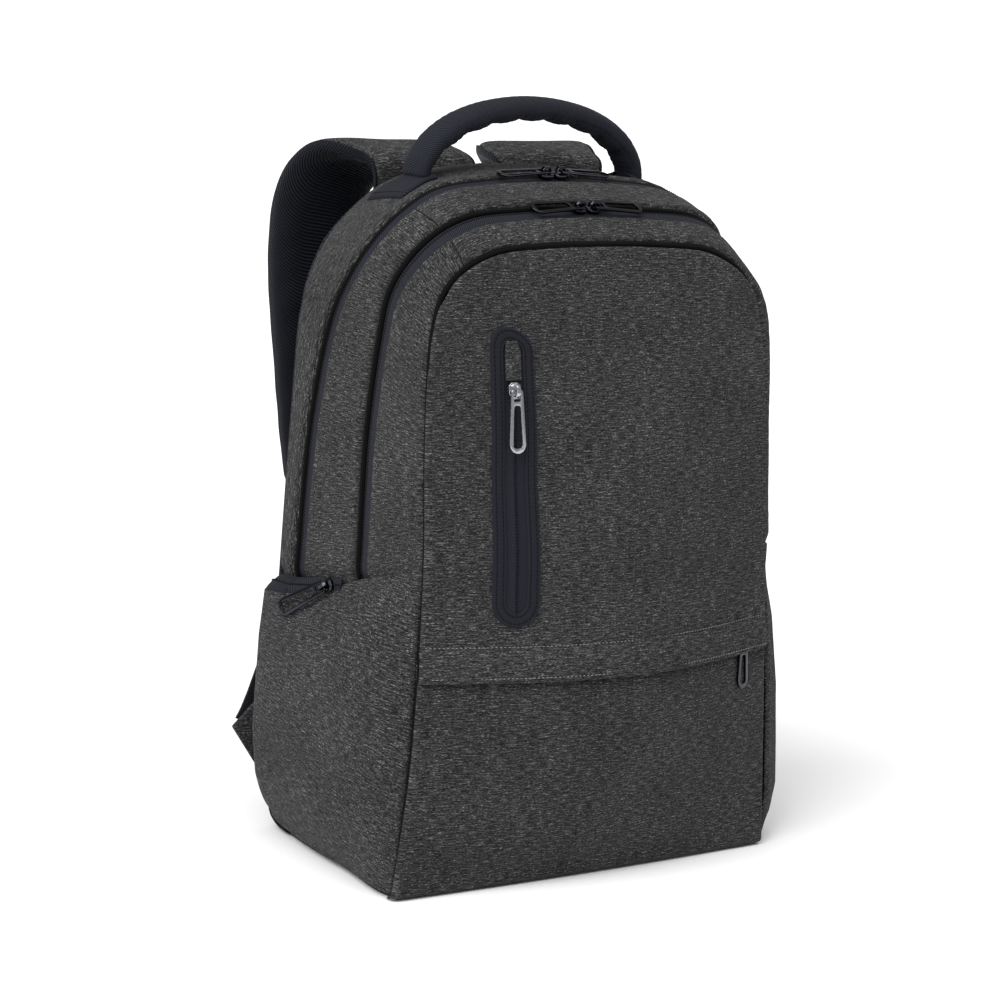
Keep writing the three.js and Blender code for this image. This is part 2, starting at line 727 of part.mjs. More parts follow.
function uprightTape() {
  const half = SLOT_WIDTH / 2 - GAP;
  const profile = [[-half, 0], [-COIL_WIDTH / 2, 0], [-COIL_WIDTH / 4, COIL_RISE],
    [COIL_WIDTH / 4, COIL_RISE], [COIL_WIDTH / 2, 0], [half, 0]];
  const end = (SURROUND_WIDTH - SLOT_WIDTH) / 2 + SLOT_WIDTH / 2;
  const steps = 6;
  const face = (lift, ridge) => Array.from({ length: steps + 1 }, (_, i) => {
    const z = THREE.MathUtils.lerp(
      UPRIGHT_TOP_Z - UPRIGHT_LENGTH + end,
      UPRIGHT_TOP_Z - end,
      i / steps,
    );
    return profile.map(([x, rise]) => frontAt(UPRIGHT_X + x, z, lift + ridge * rise));
  });
  addMesh('zip_tape', wall(face(LIE + 0.8, 1), face(LIE, 0)), ZIP_TAPE);
}

function zipGarage() {
  const half = SLOT_WIDTH / 2 - GAP - 1;
  const lift = LIE + 0.8 + COIL_RISE + GAP;
  const profile = [[-half, 0.4], [-half / 2, 0.9], [0, 1.1], [half / 2, 0.9], [half, 0.4]];
  const steps = 3;
  const face = (thick) => Array.from({ length: steps + 1 }, (_, i) => {
    const share = i / steps;
    const z = SLOT_TOP_Z - 2 - GARAGE_LENGTH * share;
    const narrow = i === 0 ? 0.7 : 1;
    return profile.map(([x, rise]) => (
      frontAt(UPRIGHT_X + x * narrow, z, lift + rise * share + thick)
    ));
  });
  addMesh('zip_garage', wall(face(CLOTH / 2), face(0)), HEATHER);
}

zipSurround();
uprightTape();
zipGarage();

// Slider in its own frame: it lies on z = 0 with its length along y, and its bridge arches
// over the bar of the pull tab, whose axis is x at height BAR_HEIGHT.
const BAR_HEIGHT = SLIDER_THICK + BRIDGE_HEIGHT / 2;

function sliderGeometry() {
  const half = SLIDER_WIDTH / 2;
  const end = SLIDER_LENGTH / 2;
  const plan = new THREE.Shape([
    new THREE.Vector2(-half * 0.6, -end),
    new THREE.Vector2(half * 0.6, -end),
    new THREE.Vector2(half, -end * 0.3),
    new THREE.Vector2(half, end * 0.7),
    new THREE.Vector2(half * 0.5, end),
    new THREE.Vector2(-half * 0.5, end),
    new THREE.Vector2(-half, end * 0.7),
    new THREE.Vector2(-half, -end * 0.3),
  ]);
  const body = new THREE.ExtrudeGeometry(plan, { depth: SLIDER_THICK, bevelEnabled: false });
  const low = SLIDER_THICK - 0.4;
  const inHalf = BRIDGE_HEIGHT * 0.75;
  const outHalf = inHalf + BRIDGE_WALL;
  const inTop = SLIDER_THICK + BRIDGE_HEIGHT;
  const side = new THREE.Shape([
    new THREE.Vector2(-outHalf, low),
    new THREE.Vector2(-inHalf, low),
    new THREE.Vector2(-inHalf, inTop - 1.2),
    new THREE.Vector2(-inHalf + 1.2, inTop),
    new THREE.Vector2(inHalf - 1.2, inTop),
    new THREE.Vector2(inHalf, inTop - 1.2),
    new THREE.Vector2(inHalf, low),
    new THREE.Vector2(outHalf, low),
    new THREE.Vector2(outHalf, inTop - 0.6),
    new THREE.Vector2(inHalf - 0.6, inTop + BRIDGE_WALL),
    new THREE.Vector2(0.6 - inHalf, inTop + BRIDGE_WALL),
    new THREE.Vector2(-outHalf, inTop - 0.6),
  ]);
  const bridge = new THREE.ExtrudeGeometry(side, { depth: BRIDGE_WIDTH, bevelEnabled: false });
  const turn = new THREE.Matrix4().makeBasis(
    new THREE.Vector3(0, 1, 0),
    new THREE.Vector3(0, 0, 1),
    new THREE.Vector3(1, 0, 0),
  );
  bridge.applyMatrix4(turn);
  bridge.translate(-BRIDGE_WIDTH / 2, 0, 0);
  return join(body, bridge);
}

// Pull tab in its own frame: its bar lies along x through the origin and the tab hangs along
// -y, flat in z. It has an eye next to the bar and a long slot below.
function roundedHole(halfTop, halfFoot, top, foot) {
  const hole = new THREE.Path();
  const bend = Math.min(halfTop, halfFoot) * 0.9;
  hole.moveTo(-halfTop, top - bend);
  hole.quadraticCurveTo(-halfTop, top, 0, top);
  hole.quadraticCurveTo(halfTop, top, halfTop, top - bend);
  hole.lineTo(halfFoot, foot + bend);
  hole.quadraticCurveTo(halfFoot, foot, 0, foot);
  hole.quadraticCurveTo(-halfFoot, foot, -halfFoot, foot + bend);
  return hole;
}

function tabGeometry(length = TAB_LENGTH) {
  const top = EYE_BAR / 2;
  const foot = top - length;
  const half = TAB_WIDTH / 2;
  const neck = TAB_NECK / 2;
  const outline = new THREE.Shape();
  outline.moveTo(neck, top - 1.5);
  outline.lineTo(neck - 1.5, top);
  outline.lineTo(-neck + 1.5, top);
  outline.lineTo(-neck, top - 1.5);
  outline.absarc(0, foot + half, half, Math.PI, 2 * Math.PI, false);
  outline.closePath();
  const eye = new THREE.Path([
    new THREE.Vector2(-EYE_WIDTH / 2, -EYE_BAR / 2),
    new THREE.Vector2(-EYE_WIDTH / 2, -EYE_BAR / 2 - EYE_LENGTH),
    new THREE.Vector2(EYE_WIDTH / 2, -EYE_BAR / 2 - EYE_LENGTH),
    new THREE.Vector2(EYE_WIDTH / 2, -EYE_BAR / 2),
  ]);
  const slotTop = -EYE_BAR / 2 - EYE_LENGTH - 2.4;
  outline.holes.push(eye, roundedHole(TAB_NECK * 0.29, TAB_WIDTH * 0.29, slotTop, foot + 3.2));
  const tab = new THREE.ExtrudeGeometry(outline, {
    depth: TAB_THICK,
    bevelEnabled: false,
    curveSegments: 5,
  });
  tab.translate(0, 0, -TAB_THICK / 2);
  return tab;
}

// Places a slider at a point. up is the outward normal and hang the way that the tab points;
// lift tips the tab's free end outwards, in degrees.
function zipPull(name, point, up, hang, lift, material) {
  const z = up.clone().normalize();
  const y = hang.clone().negate().addScaledVector(z, hang.dot(z)).normalize();
  const x = y.clone().cross(z);
  const mount = new THREE.Group();
  mount.matrix.makeBasis(x, y, z).setPosition(point);
  mount.matrix.decompose(mount.position, mount.quaternion, mount.scale);
  addMesh(`${name}_slider`, sliderGeometry(), material, mount);
  const tab = addMesh(`${name}_tab`, tabGeometry(), material, mount);
  tab.position.z = BAR_HEIGHT;
  tab.rotation.x = -THREE.MathUtils.degToRad(lift);
  bag.add(mount);
}

// The two sliders of a long zip meet in the middle of the top, their tabs pointing apart.
function topPulls(name, seam) {
  const apart = SLIDER_LENGTH / 2 + GAP * 2;
  const proud = GAP + COIL_RISE - TAPE_SINK;
  for (const side of [-1, 1]) {
    const perStation = Math.abs(seamPoint(seam, TOP_STATION - 0.5).x) * 2;
    const station = TOP_STATION + side * apart / perStation;
    const point = skin(station, seam, proud);
    const ahead = skin(station + side * 0.3, seam, proud).sub(point);
    zipPull(`${name}_${side < 0 ? 'left' : 'right'}`, point, skinNormal(station, seam), ahead, -3,
      GUNMETAL);
  }
}

topPulls('front_zip', 1);
topPulls('rear_zip', 2);

// The upright zip's slider sits just below the garage, and its tab hangs down to rest just
// over the coil.
function uprightPull() {
  const z = SLOT_TOP_Z - 2 - GARAGE_LENGTH - SLIDER_LENGTH / 2 - GAP * 2;
  const proud = LIE + 0.8 + COIL_RISE + GAP;
  const point = frontAt(UPRIGHT_X, z, proud);
  const up = frontAt(UPRIGHT_X, z, proud + 1).sub(point);
  const bar = point.clone().addScaledVector(up, BAR_HEIGHT);
  const foot = frontAt(UPRIGHT_X, z - TAB_LENGTH, proud + 2 * TAB_THICK);
  const hang = foot.sub(bar).normalize();
  const lift = THREE.MathUtils.radToDeg(Math.asin(hang.dot(up)));
  zipPull('upright_zip', point, up, hang, lift, SILVER);
}

uprightPull();

// A side pocket's slider stands at the front end of its zip, and its tab hangs back and down.
const POCKET_TAB_FALL = 36;
const POCKET_TAB_LIFT = 12;

function pocketPulls() {
  const across = ZIP_END_ACROSS + 0.12;
  const place = pocketZipPoint(across, 0.5, 0);
  const rise = pocketZipPoint(across, 1, 0).sub(pocketZipPoint(across, 0, 0));
  const back = pocketZipPoint(across + 0.1, 0.5, 0).sub(place);
  const up = back.clone().cross(rise).normalize();
  if (up.x > 0) up.negate();
  place.addScaledVector(up, GAP * 2);
  const fall = THREE.MathUtils.degToRad(POCKET_TAB_FALL);
  const hang = new THREE.Vector3(0, Math.cos(fall), -Math.sin(fall));
  zipPull('pocket_left', place, up, hang, POCKET_TAB_LIFT, GUNMETAL);
  zipPull('pocket_right', mirrorX(place), mirrorX(up), hang, POCKET_TAB_LIFT, GUNMETAL);
}

pocketPulls();

// The flap pocket's pull tab hangs out from under the flap, on a plain hidden slider.
function flapPull() {
  const top = FLAP_TAB_LOW_Z + FLAP_TAB_LENGTH;
  const middle = FLAP_TAB_LOW_Z + FLAP_TAB_LENGTH / 2;
  const lie = LIE + TAB_THICK / 2;
  const anchor = frontAt(FLAP_TAB_X, middle, lie);
  const y = frontAt(FLAP_TAB_X, top, lie).sub(anchor).normalize();
  const out = frontAt(FLAP_TAB_X, middle, lie + 1).sub(anchor);
  const x = y.clone().cross(out).normalize();
  const z = x.clone().cross(y);
  const mount = new THREE.Group();
  mount.matrix.makeBasis(x, y, z).setPosition(anchor);
  mount.matrix.decompose(mount.position, mount.quaternion, mount.scale);
  const tab = addMesh('flap_tab', tabGeometry(FLAP_TAB_LENGTH), GUNMETAL, mount);
  tab.position.y = FLAP_TAB_LENGTH / 2 - EYE_BAR / 2;
  const short = SLIDER_LENGTH * 0.55;
  const block = new THREE.BoxGeometry(SLIDER_WIDTH, short, SLIDER_THICK);
  const slider = addMesh('flap_slider', block, GUNMETAL, mount);
  slider.position.y = FLAP_TAB_LENGTH / 2 + short / 2 + GAP;
  slider.position.z = -SLIDER_THICK / 2 - LIE + 0.3;
  bag.add(mount);
}

flapPull();

// Carrying handle: a padded grip, gathered into ribs along its underside, on two flat feet
// sewn over the rear band's shoulders. side and rise are shares of half the span and of the
// rise from the feet to the middle of the grip.
const HANDLE_PATH = [
  { side: 1.00, rise: 0.00 },
  { side: 0.97, rise: 0.20 },
  { side: 0.88, rise: 0.44 },
  { side: 0.72, rise: 0.68 },
  { side: 0.52, rise: 0.85 },
  { side: 0.27, rise: 0.96 },
  { side: 0.00, rise: 1.00 },
];

// Across value of a point of the rear band, by its depth.
function rearAcross(station, y) {
  const near = skinPoint(station, 2).y;
  const far = skinPoint(station, 3).y;
  return 2 + (y - near) / (far - near);
}

// Station on the left half where the rear band reaches a given distance from the middle.
function rearStation(out, y) {
  let low = SHOULDER_STATION - 2;
  let high = TOP_STATION;
  for (let i = 0; i < 40; i += 1) {
    const middle = (low + high) / 2;
    if (-skinPoint(middle, rearAcross(middle, y)).x > out) low = middle;
    else high = middle;
  }
  return (low + high) / 2;
}

function rearAt(out, y, lift) {
  const station = rearStation(out, y);
  return skin(station, rearAcross(station, y), lift);
}

const FOOT_LIFT = 0.5;
const GRIP_SEAT = FOOT_LIFT + FOOT_THICK + GAP + 0.7;
const GRIP_FOOT_Z = rearAt(HANDLE_HALF_SPAN, HANDLE_Y, GRIP_SEAT).z;

function handleGrip() {
  const left = HANDLE_PATH.map(({ side, rise }) => new THREE.Vector3(
    -side * HANDLE_HALF_SPAN,
    HANDLE_Y,
    GRIP_FOOT_Z + rise * HANDLE_RISE,
  ));
  const right = left.slice(0, -1).reverse().map(mirrorX);
  const path = new THREE.CatmullRomCurve3([...left, ...right], false, 'centripetal');
  const steps = 4 * GRIP_RIBS;
  const sides = 10;
  const sections = Array.from({ length: steps + 1 }, (_, i) => {
    const share = i / steps;
    const centre = path.getPointAt(share);
    const along = path.getTangentAt(share);
    if (i === 0 || i === steps) along.set(0, 0, i === 0 ? 1 : -1);
    const across = new THREE.Vector3(0, 1, 0);
    const out = along.clone().cross(across).negate().normalize();
    const rib = 0.5 - 0.5 * Math.cos(2 * Math.PI * GRIP_RIBS * share);
    const end = Math.min(share, 1 - share) * 8;
    const thick = GRIP_THICK * (0.8 + 0.2 * Math.min(1, end));
    return Array.from({ length: sides }, (__, j) => {
      const angle = 2 * Math.PI * j / sides;
      const y = Math.cos(angle) * GRIP_WIDTH / 2;
      const r = Math.sin(angle) * thick / 2;
      const gather = r < 0 ? RIB_DEPTH * (rib - 0.5) * Math.min(1, end) : 0;
      const p = centre.clone().addScaledVector(across, y).addScaledVector(out, r - gather);
      if (i === 0 || i === steps) p.z = rearAt(Math.abs(p.x), p.y, GRIP_SEAT).z;
      return p;
    });
  });
  addMesh('handle_grip', loft(sections), TWILL);
}

// A foot runs down the shoulder from under the grip.
function handleFoot() {
  const outs = [-12, -4, 4, 12, FOOT_REACH - 5, FOOT_REACH];
  const halves = [-1, -0.5, 0, 0.5, 1];
  const face = (lift) => outs.map((out) => halves.map((half) => rearAt(
    HANDLE_HALF_SPAN + out,
    HANDLE_Y + half * FOOT_WIDTH / 2,
    lift,
  )));
  addBothSides('handle_foot', face(FOOT_LIFT + FOOT_THICK), face(FOOT_LIFT), TWILL);
}

handleGrip();
handleFoot();

// Shoulder straps. out is a share of half the body's width, back of half its depth, up of its
// height, half of half the strap's width and thick of its thickness. The straps start sewn to
// the back panel below the top seam, arch back and hang down behind it.
const STRAP_ROWS = [
  { out: 0.370, back: 0.955, up: 0.934, half: 1.22, thick: 0.40 },
  { out: 0.365, back: 0.932, up: 0.968, half: 1.26, thick: 0.46 },
  { out: 0.370, back: 0.980, up: 0.998, half: 1.27, thick: 0.75 },
  { out: 0.385, back: 1.135, up: 1.011, half: 1.25, thick: 0.95 },
  { out: 0.435, back: 1.290, up: 1.014, half: 1.22, thick: 1.00 },
  { out: 0.510, back: 1.437, up: 1.002, half: 1.16, thick: 1.00 },
  { out: 0.600, back: 1.531, up: 0.974, half: 1.09, thick: 1.00 },
  { out: 0.670, back: 1.562, up: 0.931, half: 1.04, thick: 1.00 },
  { out: 0.700, back: 1.552, up: 0.878, half: 1.01, thick: 1.00 },
  { out: 0.715, back: 1.490, up: 0.797, half: 0.98, thick: 1.00 },
  { out: 0.715, back: 1.385, up: 0.700, half: 0.95, thick: 1.00 },
  { out: 0.710, back: 1.281, up: 0.602, half: 0.93, thick: 0.95 },
  { out: 0.700, back: 1.219, up: 0.518, half: 0.85, thick: 0.80 },
  { out: 0.730, back: 1.187, up: 0.467, half: 0.50, thick: 0.50 },
];
const STRAP_STEPS = 26;

// Table value at a share of the run, eased through the rows.
function rowValue(rows, key, share) {
  const at = share * (rows.length - 1);
  const i = Math.min(Math.floor(at), rows.length - 2);
  return THREE.MathUtils.lerp(rows[i][key], rows[i + 1][key], at - i);
}

const strapPath = new THREE.CatmullRomCurve3(STRAP_ROWS.map((row) => new THREE.Vector3(
  -row.out * BODY_WIDTH / 2,
  row.back * BODY_DEPTH / 2,
  row.up * BODY_HEIGHT,
)), false, 'centripetal');

// Frame of the left strap: its middle, its width direction and its outward normal. The strap
// is cut to a curve, so its width turns less than its run does.
const STRAP_CUT = 0.35;

function strapFrame(share) {
  const centre = strapPath.getPoint(share);
  const along = strapPath.getTangent(share);
  if (share < 0.85) along.x *= STRAP_CUT;
  along.normalize();
  const width = new THREE.Vector3(1, 0, 0).addScaledVector(along, -along.x).normalize();
  const out = width.clone().cross(along).normalize();
  return { centre, width, out };
}

function strapSection(share, profile) {
  const { centre, width, out } = strapFrame(share);
  const half = rowValue(STRAP_ROWS, 'half', share) * STRAP_WIDTH / 2;
  const thick = rowValue(STRAP_ROWS, 'thick', share) * STRAP_THICK;
  return profile(half, thick).map(([w, t]) => (
    centre.clone().addScaledVector(width, w).addScaledVector(out, t)
  ));
}

// The cover is the padded body of the strap, and the lining a thinner pad let into the face
// that lies against the wearer.
function strapCover(half, thick) {
  const seat = Math.max(-thick / 2 + LINING_THICK * thick / STRAP_THICK + GAP, -thick * 0.1);
  const rim = half - STRAP_RIM;
  return [
    [-half + 3, -thick / 2],
    [-rim, -thick / 2],
    [-rim + 0.5, seat],
    [rim - 0.5, seat],
    [rim, -thick / 2],
    [half - 3, -thick / 2],
    [half, -thick * 0.1],
    [half - 3, thick * 0.35],
    [half * 0.5, thick / 2],
    [-half * 0.5, thick / 2],
    [-half + 3, thick * 0.35],
    [-half, -thick * 0.1],
  ];
}

function strapLining(half, thick) {
  const seat = Math.max(-thick / 2 + LINING_THICK * thick / STRAP_THICK, -thick * 0.1 - GAP);
  const rim = half - STRAP_RIM - 0.6;
  return [
    [rim, -thick / 2],
    [-rim, -thick / 2],
    [-rim + 0.5, seat],
    [rim - 0.5, seat],
  ];
}

function shoulderStraps() {
  const shares = Array.from({ length: STRAP_STEPS + 1 }, (_, i) => i / STRAP_STEPS);
  const pieces = [
    { name: 'strap_cover', profile: strapCover, material: HEATHER },
    { name: 'strap_lining', profile: strapLining, material: AIR_MESH },
  ];
  for (const { name, profile, material } of pieces) {
    const sections = shares.map((share) => strapSection(share, profile));
    addMesh(`${name}_left`, capped(sections), material);
    addMesh(`${name}_right`, capped(sections.map((ring) => ring.map(mirrorX))), material);
  }
}

// Loft whose end caps may be hollow-sided: they are cut into triangles in their own plane.
function capped(sections) {
  const n = sections[0].length;
  const points = sections.flat();
  const index = [];
  for (let i = 0; i < sections.length - 1; i += 1) {
    for (let j = 0; j < n; j += 1) {
      const a = i * n;
      const b = a + n;
      const k = (j + 1) % n;
      index.push(a + j, b + j, b + k, a + j, b + k, a + k);
    }
  }
  for (const end of [0, sections.length - 1]) {
    const ring = sections[end];
    const x = ring[Math.floor(n / 2)].clone().sub(ring[0]).normalize();
    const normal = new THREE.Vector3();
    for (let j = 1; j < n - 1; j += 1) {
      const a = ring[j].clone().sub(ring[0]);
      normal.add(a.cross(ring[j + 1].clone().sub(ring[0])));
    }
    normal.normalize();
    const y = normal.clone().cross(x);
    const flat = ring.map((p) => new THREE.Vector2(p.dot(x), p.dot(y)));
    for (const [a, b, c] of THREE.ShapeUtils.triangulateShape(flat, [])) {
      const base = end * n;
      if (end === 0) index.push(base + a, base + b, base + c);
      else index.push(base + a, base + c, base + b);
    }
  }
  return solid(points, index);
}

shoulderStraps();

// Lower webbing: from a plain ladder buckle at the strap's end to a small wing that is sewn
// to the bottom of the back seam. out is a share of half the body's width, up of its height.
const WING_LOW = 0.068;
const WING_HIGH = 0.209;
const WING_TIP = { out: 1.18, up: 0.154 };

function wingSeam(up) {
  const p = seamPoint(3, levelStation(3, up * BODY_HEIGHT));
  return p.setY(p.y + GAP);
}

function strapWing() {
  const tip = new THREE.Vector3(
    -WING_TIP.out * BODY_WIDTH / 2,
    BODY_DEPTH / 2 + GAP,
    WING_TIP.up * BODY_HEIGHT,
  );
  const plan = [wingSeam(WING_LOW), tip, wingSeam(WING_HIGH)];
  const behind = plan.map((p) => new THREE.Vector3(p.x, p.y + WING_THICK, p.z));
  addMesh('strap_wing_left', loft([plan, behind]), HEATHER);
  addMesh('strap_wing_right', loft([plan, behind].map((ring) => ring.map(mirrorX))), HEATHER);
}

strapWing();

// The buckle carries on in line with the strap's end, and the webbing bends to the wing.
function lowerWebbing() {
  const end = strapFrame(1);
  const down = strapPath.getTangent(1).normalize();
  const lockTop = end.centre.clone().addScaledVector(down, GAP);
  const lockFoot = lockTop.clone().addScaledVector(down, BUCKLE_LENGTH);
  const head = lockFoot.clone().addScaledVector(down, GAP);
  const wingTip = new THREE.Vector3(
    -WING_TIP.out * BODY_WIDTH / 2,
    BODY_DEPTH / 2 + WING_THICK + WEBBING_THICK / 2 + 2 * GAP,
    WING_TIP.up * BODY_HEIGHT,
  );
  const run = wingTip.clone().sub(head).normalize();
  const inward = new THREE.Vector3(-run.z, 0, run.x);
  const foot = wingTip.clone()
    .addScaledVector(inward, WEBBING_WIDTH / 2 + 2)
    .addScaledVector(run, -WEBBING_WIDTH / 4);
  const bend = head.clone().addScaledVector(down, WEBBING_WIDTH / 2);
  const landing = foot.clone().addScaledVector(run, -WEBBING_WIDTH / 2);
  landing.y = foot.y;
  const path = new THREE.CatmullRomCurve3([head, bend, landing, foot], false, 'centripetal');
  const steps = 8;
  const strip = Array.from({ length: steps + 1 }, (_, i) => {
    const centre = path.getPoint(i / steps);
    const along = i === 0 ? down : path.getTangent(i / steps);
    const width = i === 0 ? end.width.clone() : along.clone().cross(new THREE.Vector3(0, -1, 0));
    width.normalize();
    const side = width.clone().multiplyScalar(WEBBING_WIDTH / 2);
    const back = width.clone().cross(along).normalize().multiplyScalar(WEBBING_THICK / 2);
    return [
      centre.clone().add(side).add(back),
      centre.clone().add(side).sub(back),
      centre.clone().sub(side).sub(back),
      centre.clone().sub(side).add(back),
    ];
  });
  addMesh('lower_webbing_left', loft(strip), WEBBING);
  addMesh('lower_webbing_right', loft(strip.map((ring) => ring.map(mirrorX))), WEBBING);
  ladderBuckle('left', lockTop, lockFoot, end.width);
  ladderBuckle('right', mirrorX(lockTop), mirrorX(lockFoot), mirrorX(end.width));
}

function ladderBuckle(name, top, foot, width) {
  const frame = new THREE.Shape();
  const halfWidth = BUCKLE_WIDTH / 2;
  const halfLength = BUCKLE_LENGTH / 2;
  frame.moveTo(-halfWidth, -halfLength);
  frame.lineTo(halfWidth, -halfLength);
  frame.lineTo(halfWidth, halfLength);
  frame.lineTo(-halfWidth, halfLength);
  frame.closePath();
  for (const row of [-1, 1]) {
    const middle = row * halfLength * 0.45;
    const inHalf = WEBBING_WIDTH / 2 + 1;
    frame.holes.push(new THREE.Path([
      new THREE.Vector2(-inHalf, middle - 2.5),
      new THREE.Vector2(-inHalf, middle + 2.5),
      new THREE.Vector2(inHalf, middle + 2.5),
      new THREE.Vector2(inHalf, middle - 2.5),
    ]));
  }
  const plate = new THREE.ExtrudeGeometry(frame, { depth: BUCKLE_THICK, bevelEnabled: false });
  plate.translate(0, 0, -BUCKLE_THICK / 2);
  const y = top.clone().sub(foot).normalize();
  const x = width.clone().normalize();
  const z = x.clone().cross(y);
  const mesh = addMesh(`strap_buckle_${name}`, plate, PLASTIC);
  mesh.matrix.makeBasis(x, y, z).setPosition(top.clone().lerp(foot, 0.5));
  mesh.matrix.decompose(mesh.position, mesh.quaternion, mesh.scale);
}

lowerWebbing();

export default bag;
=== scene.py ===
"""Looks of the laptop backpack: sewn heather cloth, twill, zips, metal pulls, mesh and webbing."""

import json
import math
import random

import bpy
import numpy as np
from mathutils import Matrix, Vector

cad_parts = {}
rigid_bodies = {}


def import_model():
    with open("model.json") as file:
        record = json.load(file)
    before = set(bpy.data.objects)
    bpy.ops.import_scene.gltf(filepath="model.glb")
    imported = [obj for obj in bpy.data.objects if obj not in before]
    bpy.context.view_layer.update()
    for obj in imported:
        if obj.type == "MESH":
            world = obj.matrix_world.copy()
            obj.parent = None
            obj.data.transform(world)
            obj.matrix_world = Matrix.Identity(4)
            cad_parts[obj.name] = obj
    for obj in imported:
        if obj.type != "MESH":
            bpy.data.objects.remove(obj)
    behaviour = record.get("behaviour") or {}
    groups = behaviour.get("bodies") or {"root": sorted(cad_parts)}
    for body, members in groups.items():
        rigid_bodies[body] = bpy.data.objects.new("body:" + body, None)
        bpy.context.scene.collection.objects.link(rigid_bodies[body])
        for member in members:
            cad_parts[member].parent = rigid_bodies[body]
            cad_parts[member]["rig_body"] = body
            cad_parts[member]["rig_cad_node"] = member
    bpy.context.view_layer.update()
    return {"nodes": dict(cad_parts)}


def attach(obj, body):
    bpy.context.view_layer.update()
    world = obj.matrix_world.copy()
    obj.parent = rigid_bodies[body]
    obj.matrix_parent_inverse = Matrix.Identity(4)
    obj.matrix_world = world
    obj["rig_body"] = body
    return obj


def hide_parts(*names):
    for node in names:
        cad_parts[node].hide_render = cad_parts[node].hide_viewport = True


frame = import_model()

MM = 0.001


# Camera, at the photograph's viewing angle: its place in metres and the ways it faces. The lens
# and the sensor's width are in millimetres.
CAMERA_PLACE = (-1.4094, -1.7358, 0.6961)
CAMERA_RIGHT = (0.7921, -0.6045, 0.0850)
CAMERA_AHEAD = (0.6079, 0.7685, -0.1995)
CAMERA_LENS = 118.8
SENSOR_WIDTH = 36.0
FAR_CLIP = 100.0


def make_camera():
    data = bpy.data.cameras.new("camera")
    data.sensor_width = SENSOR_WIDTH
    data.lens = CAMERA_LENS
    data.clip_end = FAR_CLIP
    camera = bpy.data.objects.new("camera", data)
    right = Vector(CAMERA_RIGHT).normalized()
    ahead = Vector(CAMERA_AHEAD).normalized()
    up = right.cross(ahead).normalized()
    turn = Matrix((right, up, -ahead)).transposed().to_4x4()
    camera.matrix_world = Matrix.Translation(CAMERA_PLACE) @ turn
    bpy.context.scene.collection.objects.link(camera)
    bpy.context.scene.camera = camera


make_camera()

# Body sizes and seam lines, in millimetres and shares of the body, as the part's source has them.
BODY_WIDTH = 300.0
BODY_HEIGHT = 467.0
BODY_DEPTH = 192.0
FRONT_CLOTH = 2.5
BACK_PAD = 6.0
FRONT_ZIP_WIDTH = 16.0
REAR_ZIP_WIDTH = 13.0
TAPE_LAP = 0.6
BACK_CLEARANCE = 0.6
TAPE_SINK = 1.2
POCKET_STEP = 3.4
POCKET_ZIP_HEIGHT = 11.0
FLAP_TOP_Z = BODY_HEIGHT * 0.3619
FLAP_EDGE_Z = BODY_HEIGHT * (0.3619 - 0.0493)
UPRIGHT_X = -BODY_WIDTH * 0.2833
UPRIGHT_TOP_Z = BODY_HEIGHT * 0.8158
UPRIGHT_LENGTH = BODY_HEIGHT * 0.4368
SURROUND_WIDTH = 33.5
SLOT_WIDTH = 15.0
SURROUND_TRIM = 4.8

# Each seam row: share of half the width, of the height and of half the depth.
FRONT_SEAM = [
    (1.085, 0.007, -0.885), (1.030, 0.204, -0.860), (0.993, 0.486, -0.740), (0.987, 0.627, -0.646),
    (0.973, 0.743, -0.573), (0.947, 0.796, -0.531), (0.900, 0.842, -0.505), (0.813, 0.874, -0.495),
    (0.620, 0.903, -0.484), (0.320, 0.912, -0.474), (0.000, 0.914, -0.469),
]
FRONT_ZIP = [
    (1.070, 0.007, -0.210), (1.030, 0.204, -0.063), (1.000, 0.439, -0.010), (0.980, 0.632, 0.052),
    (0.973, 0.777, 0.000), (0.963, 0.833, -0.042), (0.923, 0.880, -0.135), (0.813, 0.922, -0.208),
    (0.653, 0.947, -0.234), (0.333, 0.956, -0.208), (0.000, 0.958, -0.188),
]
REAR_ZIP = [
    (1.040, 0.014, 0.625), (1.013, 0.204, 0.708), (1.000, 0.404, 0.729), (0.997, 0.632, 0.698),
    (0.987, 0.781, 0.573), (0.970, 0.846, 0.438), (0.927, 0.906, 0.271), (0.833, 0.949, 0.177),
    (0.667, 0.979, 0.167), (0.333, 0.992, 0.193), (0.000, 0.995, 0.204),
]
BACK_SEAM = [
    (0.990, 0.030, 0.950), (1.000, 0.204, 1.000), (1.000, 0.404, 1.010), (1.000, 0.632, 1.010),
    (0.993, 0.777, 1.005), (0.967, 0.829, 0.995), (0.893, 0.884, 0.970), (0.773, 0.934, 0.930),
    (0.613, 0.972, 0.890), (0.320, 0.994, 0.865), (0.000, 1.000, 0.854),
]
LAST_STATION = 20
FOOT_STATION = 0.05
SHOULDER_STATION = 6
CROSS_SEAM_STATION = 7.2
HEM_STATION = 1.6
POCKET_TOP_STATION = 1.94
ZIP_END_ACROSS = 1.3
SWELLS = (3.0, 2.5, 2.0)


